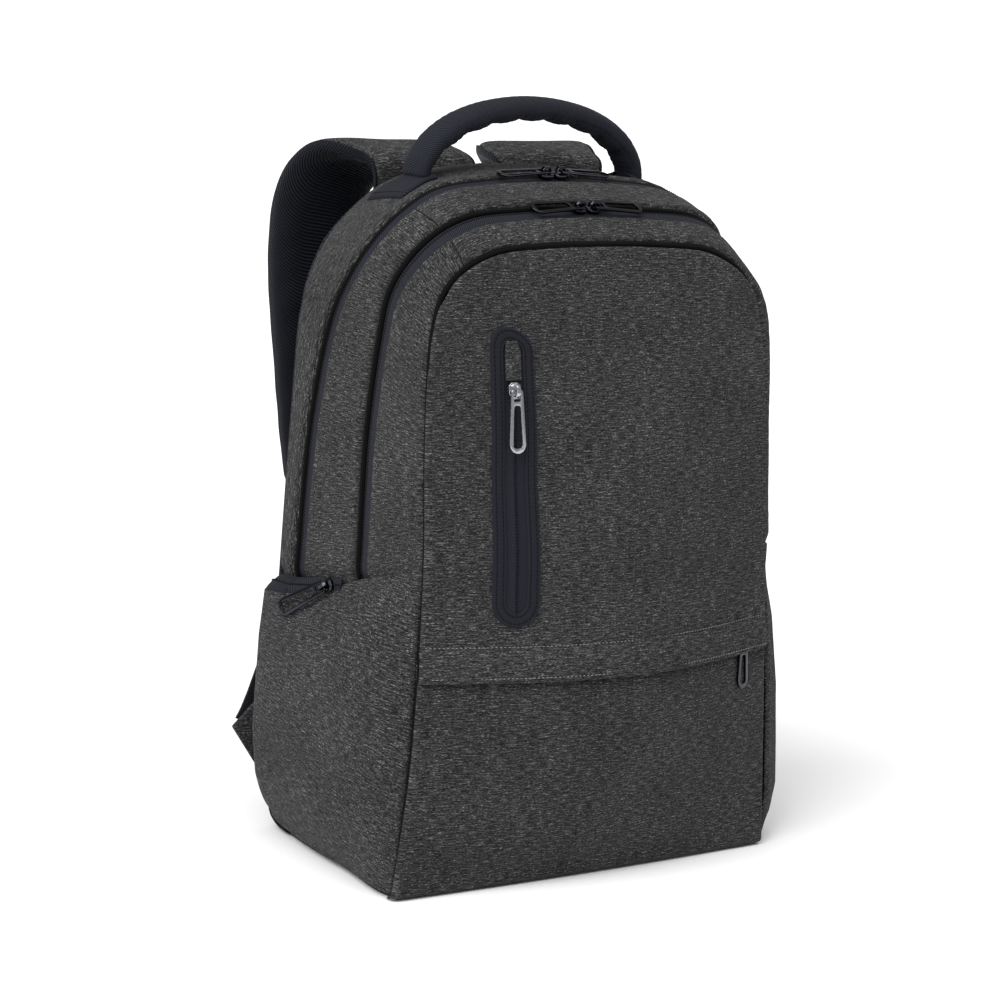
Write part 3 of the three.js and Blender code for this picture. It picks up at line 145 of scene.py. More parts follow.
def smooth_run(points):
    """A smooth run through points, read at a place counted in points."""
    p = np.array(points, float)
    q = np.vstack([2 * p[0] - p[1], p, 2 * p[-1] - p[-2]])
    gap = np.maximum(np.sum(np.diff(q, axis=0) ** 2, axis=1) ** 0.25, 1e-4)
    d0, d1, d2 = gap[:-2, None], gap[1:-1, None], gap[2:, None]
    x0, x1, x2, x3 = q[:-3], q[1:-2], q[2:-1], q[3:]
    t1 = ((x1 - x0) / d0 - (x2 - x0) / (d0 + d1) + (x2 - x1) / d1) * d1
    t2 = ((x2 - x1) / d1 - (x3 - x1) / (d1 + d2) + (x3 - x2) / d2) * d1
    terms = np.stack([x1, t1, 3 * (x2 - x1) - 2 * t1 - t2, 2 * (x1 - x2) + t1 + t2], axis=1)

    def at(place):
        place = np.clip(np.asarray(place, float), 0, len(terms))
        i = np.clip(np.floor(place).astype(int), 0, len(terms) - 1)
        w = (place - i)[..., None]
        c = terms[i]
        return c[..., 0, :] + w * (c[..., 1, :] + w * (c[..., 2, :] + w * c[..., 3, :]))

    return at


def seam_run(rows):
    left = [(-o * BODY_WIDTH / 2, b * BODY_DEPTH / 2, u * BODY_HEIGHT) for o, u, b in rows]
    right = [(-x, y, z) for x, y, z in left[-2::-1]]
    return smooth_run(left + right)


SEAMS = [seam_run(rows) for rows in (FRONT_SEAM, FRONT_ZIP, REAR_ZIP, BACK_SEAM)]


def unit(v):
    return v / np.maximum(np.linalg.norm(v, axis=-1, keepdims=True), 1e-12)


def run_along(points):
    """Distance along a line of points, counted from its first one."""
    return np.concatenate([[0], np.cumsum(np.linalg.norm(np.diff(points, axis=0), axis=1))])


def flat_map(u, v):
    """The places of a piece's pattern, in millimetres."""
    return np.stack(np.broadcast_arrays(u, v), axis=-1)


def box_round(angle, wide_power, high_power):
    """Across and up, each between -1 and 1, round a section that a lower power makes squarer."""
    cosine = np.cos(angle)
    sine = np.sin(angle)
    wide = np.sign(cosine) * np.abs(cosine) ** wide_power
    return wide, np.sign(sine) * np.abs(sine) ** high_power


def on_side(points, side):
    """Points of the left side, mirrored where they are for the right one."""
    return points * np.array([-1.0, 1.0, 1.0]) if side == "right" else points


def skin_point(station, across):
    """A point of the side and top skin, as in the part's source."""
    station, across = np.broadcast_arrays(np.asarray(station, float), np.asarray(across, float))
    band = np.clip(np.floor(across), 0, 2).astype(int)
    result = np.zeros(station.shape + (3,))
    for b in range(3):
        here = band == b
        if not here.any():
            continue
        s = station[here]
        q = (across[here] - b)[:, None]
        near = SEAMS[b](s)
        far = SEAMS[b + 1](s)
        along = SEAMS[b](s + 0.05) - SEAMS[b](s - 0.05)
        out = unit(np.cross(far - near, along))
        result[here] = near + (far - near) * q - out * SWELLS[b] * 4 * q * (1 - q)
    return result


def skin_normal(station, across):
    station, across = np.broadcast_arrays(np.asarray(station, float), np.asarray(across, float))
    step = 0.02
    along = (skin_point(np.minimum(station + step, LAST_STATION), across)
             - skin_point(np.maximum(station - step, 0), across))
    over = (skin_point(station, np.minimum(across + step, 3))
            - skin_point(station, np.maximum(across - step, 0)))
    return unit(np.cross(along, over))


def skin(station, across, lift=0.0):
    lift = np.asarray(lift, float)[..., None]
    return skin_point(station, across) + skin_normal(station, across) * lift


def band_width(seam, station):
    return np.linalg.norm(SEAMS[seam](station) - SEAMS[seam + 1](station), axis=-1)


FRONT_BULGE = 29.0
BACK_BULGE = 5.0
FRONT_BULGES = ((0.011, 0.12), (0.080, 0.55), (0.209, 0.95), (0.317, 1.00), (0.456, 0.84),
                (0.624, 0.55), (0.782, 0.26), (0.921, 0.00))
BACK_BULGES = ((0.011, 0.0), (0.209, 0.9), (0.505, 1.0), (0.802, 0.5), (0.931, 0.0), (1.0, 0.0))
BULGE_POWER = 1.3


def smoothstep(x, low, high):
    t = np.clip((x - low) / (high - low), 0, 1)
    return t * t * (3 - 2 * t)


def eased(rows, at):
    """Table value, eased from row to row."""
    keys = np.array([r[0] for r in rows])
    values = np.array([r[1] for r in rows])
    i = np.clip(np.searchsorted(keys, at), 1, len(keys) - 1)
    t = smoothstep(at, keys[i - 1], keys[i])
    return values[i - 1] + (values[i] - values[i - 1]) * t


def panel_point(seam, u, station):
    """A point of the front (seam 0) or back (seam 3) panel, as in the part's source."""
    u, station = np.broadcast_arrays(np.asarray(u, float), np.asarray(station, float))
    side = SEAMS[seam](station)
    corner = SEAMS[seam](SHOULDER_STATION)
    top = SEAMS[seam](SHOULDER_STATION + (LAST_STATION - 2 * SHOULDER_STATION) * (u + 1) / 2)
    crown = smoothstep(station, SHOULDER_STATION - 1.5, SHOULDER_STATION)
    share = u + (top[..., 0] / abs(corner[0]) - u) * crown
    z = side[..., 2] + crown * (top[..., 2] - corner[2])
    y = side[..., 1] + crown * (top[..., 1] - corner[1])
    swell = np.maximum(0, 1 - u * u) ** BULGE_POWER
    rows, size = (FRONT_BULGES, -FRONT_BULGE) if seam == 0 else (BACK_BULGES, BACK_BULGE)
    y = y + size * eased(rows, z / BODY_HEIGHT) * swell
    return np.stack([np.abs(side[..., 0]) * share, y, z], axis=-1)


def panel_normal(seam, u, station):
    u, station = np.broadcast_arrays(np.asarray(u, float), np.asarray(station, float))
    step = 0.01
    rise = (panel_point(seam, u, np.minimum(station + step, SHOULDER_STATION))
            - panel_point(seam, u, np.maximum(station - step, 0)))
    over = (panel_point(seam, np.minimum(u + step, 1), station)
            - panel_point(seam, np.maximum(u - step, -1), station))
    out = unit(np.cross(over, rise))
    return out if seam == 0 else -out


def panel_flat(seam, u, station):
    """How far across and how high each point of a panel lies."""
    point = panel_point(seam, u, station)
    return point[..., 0], point[..., 2]


def panel(seam, u, station, lift=0.0):
    lift = np.asarray(lift, float)[..., None]
    return panel_point(seam, u, station) + panel_normal(seam, u, station) * lift


SIDE_STATIONS = np.linspace(0, SHOULDER_STATION, 1201)


def level_station(seam, z):
    return np.interp(z, SEAMS[seam](SIDE_STATIONS)[:, 2], SIDE_STATIONS)


def front_at(x, z, lift=0.0):
    """The front panel's point at a given x and height."""
    x, z = np.broadcast_arrays(np.asarray(x, float), np.asarray(z, float))
    u = np.zeros(x.shape)
    for _ in range(8):
        low = np.zeros(x.shape)
        high = np.full(x.shape, float(SHOULDER_STATION))
        for _ in range(24):
            station = (low + high) / 2
            below = panel_point(0, u, station)[..., 2] < z
            low = np.where(below, station, low)
            high = np.where(below, high, station)
        half = panel_point(0, np.where(x < 0, -1.0, 1.0), station)[..., 0]
        u = np.clip(x / np.abs(half), -1, 1)
    return panel(0, u, station, lift)


# Soft unevenness of sewn cloth.
def ripples(seed, u, v, size):
    """Smooth unevenness between about -1 and 1, size apart in millimetres."""
    count = 7
    pick = random.Random(seed)
    total = np.zeros(np.broadcast(u, v).shape)
    for _ in range(count):
        turn = pick.uniform(0, math.pi)
        length = size * pick.uniform(0.7, 1.7)
        phase = pick.uniform(0, 2 * math.pi)
        total = total + np.sin((u * math.cos(turn) + v * math.sin(turn)) * 2 * math.pi / length + phase)
    return total / count * 1.6


def gathers(seed, run, pitch):
    """Puckers along a seam, pitch apart in millimetres, between 0 and 1."""
    pick = random.Random(seed)
    total = np.zeros(np.shape(run))
    for _ in range(6):
        length = pitch * pick.uniform(0.75, 1.5)
        total = total + np.sin(run * 2 * math.pi / length + pick.uniform(0, 2 * math.pi))
    return np.clip(0.5 + total / 5, 0, 1)


# A turned edge is a quarter circle of the given radius that goes on down to the given depth.
EDGE_ANGLES = np.radians([0, 14, 30, 48, 68, 90])


def turned_edge(radius, depth):
    down = [(0.0, -depth)] if depth > radius else []
    return down + [(radius * (1 - math.cos(a)), -radius * (1 - math.sin(a))) for a in EDGE_ANGLES]


def places(span, step, first, last):
    """Places over a span as share, offset and lift, closer together on its turned edges."""
    near = turned_edge(*first)
    far = turned_edge(*last)[::-1]
    count = max(3, int(round(span / step)))
    inner = np.linspace(0, 1, count + 1)[1:-1]
    r0, r1 = near[-1][0], far[0][0]
    share = [0.0] * len(near) + list(inner) + [1.0] * len(far)
    offset = [d for d, _ in near] + list(r0 * (1 - inner) - r1 * inner) + [-d for d, _ in far]
    lift = [h for _, h in near] + [0.0] * len(inner) + [h for _, h in far]
    return np.array(share), np.array(offset), np.array(lift)


# Mesh making.
def deselect():
    bpy.ops.object.select_all(action="DESELECT")


def only(piece):
    deselect()
    piece.select_set(True)
    bpy.context.view_layer.objects.active = piece


def apply_modifier(piece, kind, **settings):
    only(piece)
    modifier = piece.modifiers.new(kind.lower(), kind)
    for key, value in settings.items():
        setattr(modifier, key, value)
    bpy.ops.object.modifier_apply(modifier=modifier.name)


def edit(piece, *steps):
    only(piece)
    bpy.ops.object.mode_set(mode="EDIT")
    bpy.ops.mesh.select_mode(type="VERT")
    bpy.ops.mesh.select_all(action="SELECT")
    for step, settings in steps:
        step(**settings)
    bpy.ops.object.mode_set(mode="OBJECT")


def grid_piece(name, points, uv, flip=False):
    """A fine grid laid on the surface through points, in millimetres, rows by columns."""
    if flip:
        points = points[:, ::-1]
        uv = uv[:, ::-1]
    rows, cols = points.shape[:2]
    deselect()
    bpy.ops.mesh.primitive_grid_add(x_subdivisions=cols - 1, y_subdivisions=rows - 1, size=1)
    piece = bpy.context.object
    piece.name = name
    mesh = piece.data
    mesh.name = name
    mesh.vertices.foreach_set("co", (points.reshape(-1, 3) * MM).astype(np.float32).ravel())
    corners = np.zeros(len(mesh.loops), int)
    mesh.loops.foreach_get("vertex_index", corners)
    flat = (uv.reshape(-1, 2) * MM)[corners].astype(np.float32)
    mesh.uv_layers[0].data.foreach_set("uv", flat.ravel())
    mesh.update()
    return piece


def finish_piece(piece, body, nodes, material, smooth=True):
    """Shading, material, body and the nodes that the piece stands for."""
    only(piece)
    if smooth:
        bpy.ops.object.shade_smooth()
    else:
        bpy.ops.object.shade_smooth_by_angle(angle=math.radians(35))
    piece.data.materials.clear()
    piece.data.materials.append(material)
    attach(piece, body)
    if nodes:
        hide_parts(*nodes)
    return piece


def cloth(name, points, uv, flip, thick, nodes, material):
    """A panel of cloth: its outer face, thickened inwards."""
    piece = grid_piece(name, points, uv, flip)
    apply_modifier(piece, "SOLIDIFY", thickness=thick * MM, offset=-1.0)
    return finish_piece(piece, "bag", nodes, material)


def tube(name, rings, uv, nodes, material):
    """A closed stuffed form through rings of points, its two ends drawn together."""
    ends = [rings[0].mean(axis=0), rings[-1].mean(axis=0)]
    rings = np.concatenate([rings, rings[:, :1]], axis=1)
    count = rings.shape[1]
    rings = np.concatenate([np.tile(ends[0], (1, count, 1)), rings, np.tile(ends[1], (1, count, 1))])
    uv = np.concatenate([uv[:1], uv, uv[-1:]])
    piece = grid_piece(name, rings, uv)
    edit(piece,
         (bpy.ops.mesh.remove_doubles, {"threshold": 1e-6}),
         (bpy.ops.mesh.normals_make_consistent, {"inside": False}))
    return finish_piece(piece, "bag", nodes, material)


# Materials.
def colour(code):
    """Linear colour from an sRGB hex code."""
    parts = [int(code[i:i + 2], 16) / 255 for i in (1, 3, 5)]
    linear = [c / 12.92 if c <= 0.04045 else ((c + 0.055) / 1.055) ** 2.4 for c in parts]
    return (*linear, 1.0)


def add_node(tree, kind, inputs=None, stops=None, **settings):
    """Adds a node with its settings, its inputs' values or links, and a ramp's stops."""
    node = tree.nodes.new(kind)
    for key, value in settings.items():
        setattr(node, key, value)
    for key, value in (inputs or {}).items():
        if isinstance(value, bpy.types.NodeSocket):
            tree.links.new(value, node.inputs[key])
        else:
            node.inputs[key].default_value = value
    if stops:
        ramp = node.color_ramp
        while len(ramp.elements) < len(stops):
            ramp.elements.new(0.5)
        for element, (place, code) in zip(ramp.elements, stops):
            element.position = place
            element.color = colour(code)
    return node


def new_material(name, **shader):
    material = bpy.data.materials.new(name)
    material.use_nodes = True
    tree = material.node_tree
    surface = tree.nodes["Principled BSDF"]
    for key, value in shader.items():
        surface.inputs[key.replace("_", " ")].default_value = value
    return material, tree, surface


# Heather cloth: polyester canvas woven from mixed dark and pale grey yarn, matt with a faint
# fuzz. The pale weft shows as short dashes, about 1.9 mm long and 0.5 mm high, drawn a little
# coarser than the real 0.4 mm thread so that they show.
def heather_cloth():
    material, tree, surface = new_material(
        "heather_woven_polyester", Roughness=0.95, Sheen_Weight=0.04, Sheen_Roughness=0.5,
        Specular_IOR_Level=0.06)
    coords = add_node(tree, "ShaderNodeTexCoord")
    dash_place = add_node(tree, "ShaderNodeMapping", {
        "Vector": coords.outputs["UV"], "Scale": (1 / 0.0019, 1 / 0.00052, 1.0)})
    dash = add_node(tree, "ShaderNodeTexNoise", {
        "Vector": dash_place.outputs["Vector"], "Scale": 1.0, "Detail": 2.0, "Roughness": 0.65})
    streak_place = add_node(tree, "ShaderNodeMapping", {
        "Vector": coords.outputs["UV"], "Scale": (1 / 0.0075, 1 / 0.0009, 1.0),
        "Location": (5.0, 3.0, 0.0)})
    streak = add_node(tree, "ShaderNodeTexNoise", {
        "Vector": streak_place.outputs["Vector"], "Scale": 1.0, "Detail": 1.0})
    mixed = add_node(tree, "ShaderNodeMix", {
        "Factor": 0.36, "A": dash.outputs["Fac"], "B": streak.outputs["Fac"]})
    yarn = add_node(tree, "ShaderNodeValToRGB", {"Fac": mixed.outputs["Result"]}, stops=[
        (0.31, "#0b0b0b"), (0.43, "#212121"), (0.52, "#383838"), (0.60, "#5b5b5b"), (0.70, "#9c9c9c")])
    patch = add_node(tree, "ShaderNodeTexNoise", {
        "Vector": coords.outputs["Object"], "Scale": 1 / 0.045, "Detail": 3.0})
    patch_tone = add_node(tree, "ShaderNodeValToRGB", {"Fac": patch.outputs["Fac"]}, stops=[
        (0.3, "#dddddd"), (0.7, "#ffffff")])
    toned = add_node(tree, "ShaderNodeMix", {
        "Factor": 1.0, "A": yarn.outputs["Color"], "B": patch_tone.outputs["Color"]},
        data_type="RGBA", blend_type="MULTIPLY")
    weave_place = add_node(tree, "ShaderNodeMapping", {
        "Vector": coords.outputs["UV"], "Scale": (1 / 0.0011, 1 / 0.0007, 1.0)})
    weave = add_node(tree, "ShaderNodeTexNoise", {
        "Vector": weave_place.outputs["Vector"], "Scale": 1.0, "Detail": 1.0})
    relief = add_node(tree, "ShaderNodeMath", {0: weave.outputs["Fac"], 1: dash.outputs["Fac"]},
                      operation="ADD")
    bump = add_node(tree, "ShaderNodeBump", {
        "Height": relief.outputs["Value"], "Strength": 0.5, "Distance": 0.0004})
    tree.links.new(toned.outputs["Result"], surface.inputs["Base Color"])
    tree.links.new(bump.outputs["Normal"], surface.inputs["Normal"])
    return material


# A wave texture of scale 1 repeats at this length, so this over a pitch in metres is its scale.
WAVE_LENGTH = 0.31416


# Twill and the other ribbed weaves: dull yarn in fine ribs, straight or diagonal, drawn 0.8 to
# 1.4 mm apart, a little coarser than the real ribs so that they show.
def ribbed_twill(name, pitch, turn, low, high, roughness, strength):
    material, tree, surface = new_material(name, Roughness=roughness, Sheen_Weight=0.03,
                                           Specular_IOR_Level=0.1)
    coords = add_node(tree, "ShaderNodeTexCoord")
    place = add_node(tree, "ShaderNodeMapping", {
        "Vector": coords.outputs["UV"], "Rotation": (0.0, 0.0, math.radians(turn))})
    rib = add_node(tree, "ShaderNodeTexWave", {
        "Vector": place.outputs["Vector"], "Scale": WAVE_LENGTH / pitch, "Distortion": 0.35,
        "Detail": 2.0, "Detail Scale": 2.0}, bands_direction="X")
    fuzz = add_node(tree, "ShaderNodeTexNoise", {
        "Vector": coords.outputs["UV"], "Scale": 1 / 0.0016, "Detail": 2.0})
    mixed = add_node(tree, "ShaderNodeMix", {
        "Factor": 0.3, "A": rib.outputs["Fac"], "B": fuzz.outputs["Fac"]})
    tone = add_node(tree, "ShaderNodeValToRGB", {"Fac": mixed.outputs["Result"]}, stops=[
        (0.15, low), (0.85, high)])
    bump = add_node(tree, "ShaderNodeBump", {
        "Height": mixed.outputs["Result"], "Strength": strength, "Distance": 0.0005})
    tree.links.new(tone.outputs["Color"], surface.inputs["Base Color"])
    tree.links.new(bump.outputs["Normal"], surface.inputs["Normal"])
    return material


# Air mesh: dark navy spacer mesh, an open knit of small holes about 2.6 mm apart.
def air_mesh():
    material, tree, surface = new_material("spacer_mesh_polyester", Roughness=0.8, Sheen_Weight=0.03,
                                           Specular_IOR_Level=0.12)
    coords = add_node(tree, "ShaderNodeTexCoord")
    hole = add_node(tree, "ShaderNodeTexVoronoi", {
        "Vector": coords.outputs["UV"], "Scale": 1 / 0.0026, "Randomness": 0.15})
    tone = add_node(tree, "ShaderNodeValToRGB", {"Fac": hole.outputs["Distance"]}, stops=[
        (0.18, "#07080b"), (0.42, "#1b1d24"), (0.6, "#262933")])
    bump = add_node(tree, "ShaderNodeBump", {
        "Height": hole.outputs["Distance"], "Strength": 0.9, "Distance": 0.001})
    tree.links.new(tone.outputs["Color"], surface.inputs["Base Color"])
    tree.links.new(bump.outputs["Normal"], surface.inputs["Normal"])
    return material


# Strap lining: the same mesh laid over cords, which show as ribs 2.1 mm apart.
def corded_mesh():
    material, tree, surface = new_material("corded_spacer_mesh", Roughness=0.6, Specular_IOR_Level=0.15)
    coords = add_node(tree, "ShaderNodeTexCoord")
    slant = add_node(tree, "ShaderNodeMapping", {
        "Vector": coords.outputs["UV"], "Rotation": (0.0, 0.0, math.radians(-32))})
    rib = add_node(tree, "ShaderNodeTexWave", {
        "Vector": slant.outputs["Vector"], "Scale": WAVE_LENGTH / 0.0021, "Distortion": 0.8,
        "Detail": 1.0}, bands_direction="Y")
    tone = add_node(tree, "ShaderNodeValToRGB", {"Fac": rib.outputs["Fac"]}, stops=[
        (0.1, "#08090c"), (0.6, "#13151b"), (0.95, "#1f232c")])
    bump = add_node(tree, "ShaderNodeBump", {
        "Height": rib.outputs["Fac"], "Strength": 0.9, "Distance": 0.0009})
    tree.links.new(tone.outputs["Color"], surface.inputs["Base Color"])
    tree.links.new(bump.outputs["Normal"], surface.inputs["Normal"])
    return material


# Pull tabs and sliders: zinc alloy, die-cast and plated, with a soft handled polish.
def plated_metal(name, code, roughness):
    material, tree, surface = new_material(name, Metallic=1.0)
    surface.inputs["Base Color"].default_value = colour(code)
    coords = add_node(tree, "ShaderNodeTexCoord")
    wear = add_node(tree, "ShaderNodeTexNoise", {
        "Vector": coords.outputs["Object"], "Scale": 1 / 0.006, "Detail": 4.0})
    gloss = add_node(tree, "ShaderNodeMapRange", {
        "Value": wear.outputs["Fac"], "To Min": roughness * 0.75, "To Max": roughness * 1.3})
    bump = add_node(tree, "ShaderNodeBump", {
        "Height": wear.outputs["Fac"], "Strength": 0.08, "Distance": 0.0002})
    tree.links.new(gloss.outputs["Result"], surface.inputs["Roughness"])
    tree.links.new(bump.outputs["Normal"], surface.inputs["Normal"])
    return material


# Buckles: black acetal, injection moulded, with a fine spark-eroded grain of 0.4 mm.
def moulded_plastic():
    material, tree, surface = new_material("moulded_acetal", Roughness=0.45, IOR=1.48)
    surface.inputs["Base Color"].default_value = colour("#131417")
    coords = add_node(tree, "ShaderNodeTexCoord")
    grain = add_node(tree, "ShaderNodeTexNoise", {
        "Vector": coords.outputs["Object"], "Scale": 1 / 0.0004, "Detail": 2.0})
    bump = add_node(tree, "ShaderNodeBump", {
        "Height": grain.outputs["Fac"], "Strength": 0.2, "Distance": 0.0001})
    tree.links.new(bump.outputs["Normal"], surface.inputs["Normal"])
    return material


# Sewing thread: bonded polyester with a slight shine. The zips' nylon coils look alike.
def sewing_thread(name, code):
    material, tree, surface = new_material(name, Roughness=0.7, Specular_IOR_Level=0.15)
    coords = add_node(tree, "ShaderNodeTexCoord")
    twist = add_node(tree, "ShaderNodeTexNoise", {
        "Vector": coords.outputs["Object"], "Scale": 1 / 0.0006, "Detail": 1.0})
    tone = add_node(tree, "ShaderNodeValToRGB", {"Fac": twist.outputs["Fac"]}, stops=[
        (0.2, "#040405"), (0.5, code)])
    tree.links.new(tone.outputs["Color"], surface.inputs["Base Color"])
    return material


# Floor: a seamless pale backdrop board, matt.
def pale_board():
    material, tree, surface = new_material("pale_matt_board", Roughness=0.9, Specular_IOR_Level=0.1)
    coords = add_node(tree, "ShaderNodeTexCoord")
    tooth = add_node(tree, "ShaderNodeTexNoise", {
        "Vector": coords.outputs["Object"], "Scale": 8.0, "Detail": 2.0})
    tone = add_node(tree, "ShaderNodeValToRGB", {"Fac": tooth.outputs["Fac"]}, stops=[
        (0.0, "#f8f8f8"), (1.0, "#fcfcfc")])
    tree.links.new(tone.outputs["Color"], surface.inputs["Base Color"])
    return material


HEATHER = heather_cloth()
TWILL = ribbed_twill("navy_polyester_twill", 0.0014, 55, "#0c0d12", "#292b34", 0.75, 0.5)
ZIP_TAPE = ribbed_twill("woven_zip_tape", 0.0013, 40, "#0e0f14", "#2a2c35", 0.7, 0.4)
WEBBING = ribbed_twill("polypropylene_webbing", 0.0014, 0, "#0c0d10", "#24252b", 0.6, 0.6)
AIR_MESH = air_mesh()
LINING = corded_mesh()
GUNMETAL = plated_metal("gunmetal_plated_zinc", "#3a3b41", 0.14)
SMOOTH_TWILL = ribbed_twill("smooth_navy_facing", 0.0008, 55, "#14151a", "#24262e", 0.8, 0.25)
SILVER = plated_metal("nickel_plated_zinc", "#bdbfc3", 0.27)
PLASTIC = moulded_plastic()
COIL = sewing_thread("black_nylon_coil", "#0c0c0f")
# The near-black seam cord material is painted shadow: it colours tubes laid where the grooves and the
# bands' overhangs only have shade.
PAINTED_SHADOW = ribbed_twill("black_seam_painted_shadow", 0.0012, 0, "#030304", "#0a0a0c", 0.9, 0.4)
DARK_THREAD = sewing_thread("dark_bonded_thread", "#08080a")
PALE_THREAD = sewing_thread("pale_bonded_thread", "#8a8a8a")


# Bands of the body.
def run_stations(seam_across, start, end):
    """Stations against millimetres run along a band."""
    station = np.linspace(start, end, 1500)
    return run_along(skin_point(station, seam_across)), station


def tuck(station):
    """Behind the side pocket a band steps in."""
    height = np.minimum(station, LAST_STATION - station)
    return -POCKET_STEP * (1 - smoothstep(height, 1.90, 2.02))


# A band's cut ends are turned in, and its cloth puckers and swells by these millimetres.
CUT_EDGE = (1.1, 3.0)
PUCKER_DEPTH = 0.55
PUCKER_PITCH = 9
SWELL_HEIGHT = 0.35
# The front band's right side hangs full from the first pair of stations to the second.
FULL_FROM = (12.9, 15.2)
FULL_TO = (18.02, 18.3)


def band(name, nodes, number, start_pad, end_pad, start, end, lengthwise, seed,
         near_edge=(2.0, 4.0), far_edge=(2.0, 4.0), near_proud=0.0, fullness=0.0):
    """A sewn band between two seams. Each edge is its turn's radius and depth. Fullness pushes
    its right side out."""
    run, stations = run_stations(number + 0.5, start, end)
    share, offset, row_lift = places(run[-1], 2.2, CUT_EDGE, CUT_EDGE)
    row_run = 0.3 + share * (run[-1] - 0.6) + offset
    station = np.interp(row_run, run, stations)
    width = band_width(number, station)
    usable = width - start_pad - end_pad
    share, offset, col_lift = places(usable.max(), 2.0, near_edge, far_edge)
    distance = share[None, :] * usable[:, None] + offset[None, :]
    across = number + (start_pad + distance) / width[:, None]
    lift = row_lift[:, None] + col_lift[None, :] + tuck(station)[:, None]
    far = usable[:, None] - distance
    along = np.broadcast_to(row_run[:, None], distance.shape)
    lift = lift + SWELL_HEIGHT * ripples(seed, along, distance, 60) * np.minimum(1, distance * far / 200)
    lift = lift + near_proud * np.exp(-((distance - 4) / 5) ** 2)
    q = distance / usable[:, None]
    shape = (1 - np.abs(1 - np.minimum(q / 0.2, 1)) ** 2.6) * (1 - np.clip((q - 0.3) / 0.7, 0, 1) ** 2)
    stretch = smoothstep(station, *FULL_FROM) * (1 - smoothstep(station, *FULL_TO))
    lift = lift + fullness * shape * stretch[:, None]
    lift = lift - PUCKER_DEPTH * gathers(seed + 1, along, PUCKER_PITCH) * np.exp(-distance / 5)
    lift = lift - PUCKER_DEPTH * gathers(seed + 2, along, PUCKER_PITCH) * np.exp(-far / 5)
    points = skin(station[:, None], across, lift)
    uv = np.stack([along, distance] if lengthwise else [distance, along], axis=-1)
    uv = uv + np.array([seed * 37.0, seed * 61.0])
    return cloth(name, points, uv, True, 1.4, nodes, HEATHER)


def seam_painted_shadow(name, seam, pad, depth, radius, start, stepped):
    """A black cord at the bottom of a seam's groove: painted shadow that stands for the groove's shade."""
    run, stations = run_stations(float(seam), start, LAST_STATION - start)
    row_run = np.linspace(0, run[-1], int(run[-1] / 3))
    station = np.interp(row_run, run, stations)
    across = seam + pad / band_width(seam, station)
    centre = skin(station, across, tuck(station) - depth if stepped else -depth)
    along = unit(np.gradient(centre, axis=0))
    side = unit(np.cross(along, skin_normal(station, across)))
    up = np.cross(side, along)
    angle = np.linspace(0, 2 * math.pi, 12, endpoint=False)[None, :, None]
    rings = centre[:, None] + radius * (side[:, None] * np.cos(angle) + up[:, None] * np.sin(angle))
    tube(name, rings, flat_map(np.linspace(0, 9, 13), row_run[:, None]), [], PAINTED_SHADOW)


def split_band(name, number, start_pad, end_pad, seed, **edges):
    cross = CROSS_SEAM_STATION
    far_cross = LAST_STATION - cross
    parts = [("left", HEM_STATION, cross, False), ("top", cross, far_cross, True),
             ("right", far_cross, LAST_STATION - HEM_STATION, False)]
    for side, start, end, lengthwise in parts:
        band(f"{name}_{side}_cloth", [f"{name}_{side}"], number, start_pad, end_pad, start, end,
             lengthwise, seed, **edges)
        seed += 5


OVERHANG = 1.8
FRONT_PAD = 4.3
split_band("front_gusset", 0, FRONT_PAD, FRONT_ZIP_WIDTH / 2 - TAPE_LAP, 11,
           near_edge=(3.2, 8.0), far_edge=(1.6, 4.0), near_proud=0.5, fullness=9.0)
split_band("mid_gusset", 1, FRONT_ZIP_WIDTH / 2 - OVERHANG, REAR_ZIP_WIDTH / 2 - TAPE_LAP, 31,
           near_edge=(2.6, 6.5), far_edge=(1.6, 4.0), near_proud=1.6)
band("rear_gusset_cloth", ["rear_gusset"], 2, REAR_ZIP_WIDTH / 2 - OVERHANG,
     BACK_PAD / 2 + BACK_CLEARANCE, HEM_STATION, LAST_STATION - HEM_STATION, True, 51,
     near_edge=(2.6, 6.5), far_edge=(2.0, 5.0), near_proud=1.6)
# Painted shadow: dark cords in the front seam's groove and under the gusset edges that overhang the two
# long zips.
seam_painted_shadow("front_seam_painted_shadow", 0, 3.5, 2.5, 1.8, 0.12, False)
seam_painted_shadow("front_zip_painted_shadow", 1, 5.4, 2.7, 2.0, HEM_STATION, True)
seam_painted_shadow("rear_zip_painted_shadow", 2, 4.1, 2.4, 1.8, HEM_STATION, True)


# Zips: a ribbed tape that dips on its rear side, with a row of coil teeth down the middle.
TAPE_DIP = 4.0
COIL_PITCH = 2.1


def tape_lift(off, width):
    return -TAPE_SINK - TAPE_DIP * smoothstep(off, -0.02 * width, 0.40 * width)


def long_zip(name, node, seam, width):
    run, stations = run_stations(seam, HEM_STATION, LAST_STATION - HEM_STATION)
    row_run = np.linspace(0, run[-1], int(run[-1] / 2))
    station = np.interp(row_run, run, stations)[:, None]
    off = np.linspace(-width / 2 - 0.4, width / 2 + 0.2, 13)[None, :]
    before = band_width(seam - 1, station)
    after = band_width(seam, station)
    across = seam + np.where(off < 0, off / before, off / after)
    crown = 0.5 * np.exp(-(off / 2.2) ** 2)
    lift = tape_lift(off, width) + crown + tuck(station)
    points = skin(station, across, lift)
    cloth(name, points, flat_map(off, row_run[:, None]), True, 1.0, [node], ZIP_TAPE)
    line = skin(station[:, 0], seam, tuck(station[:, 0]) - TAPE_SINK + 0.5)
    beads(f"{node}_coil", line, COIL_PITCH, (1.5, 2.6, 1.3), COIL)


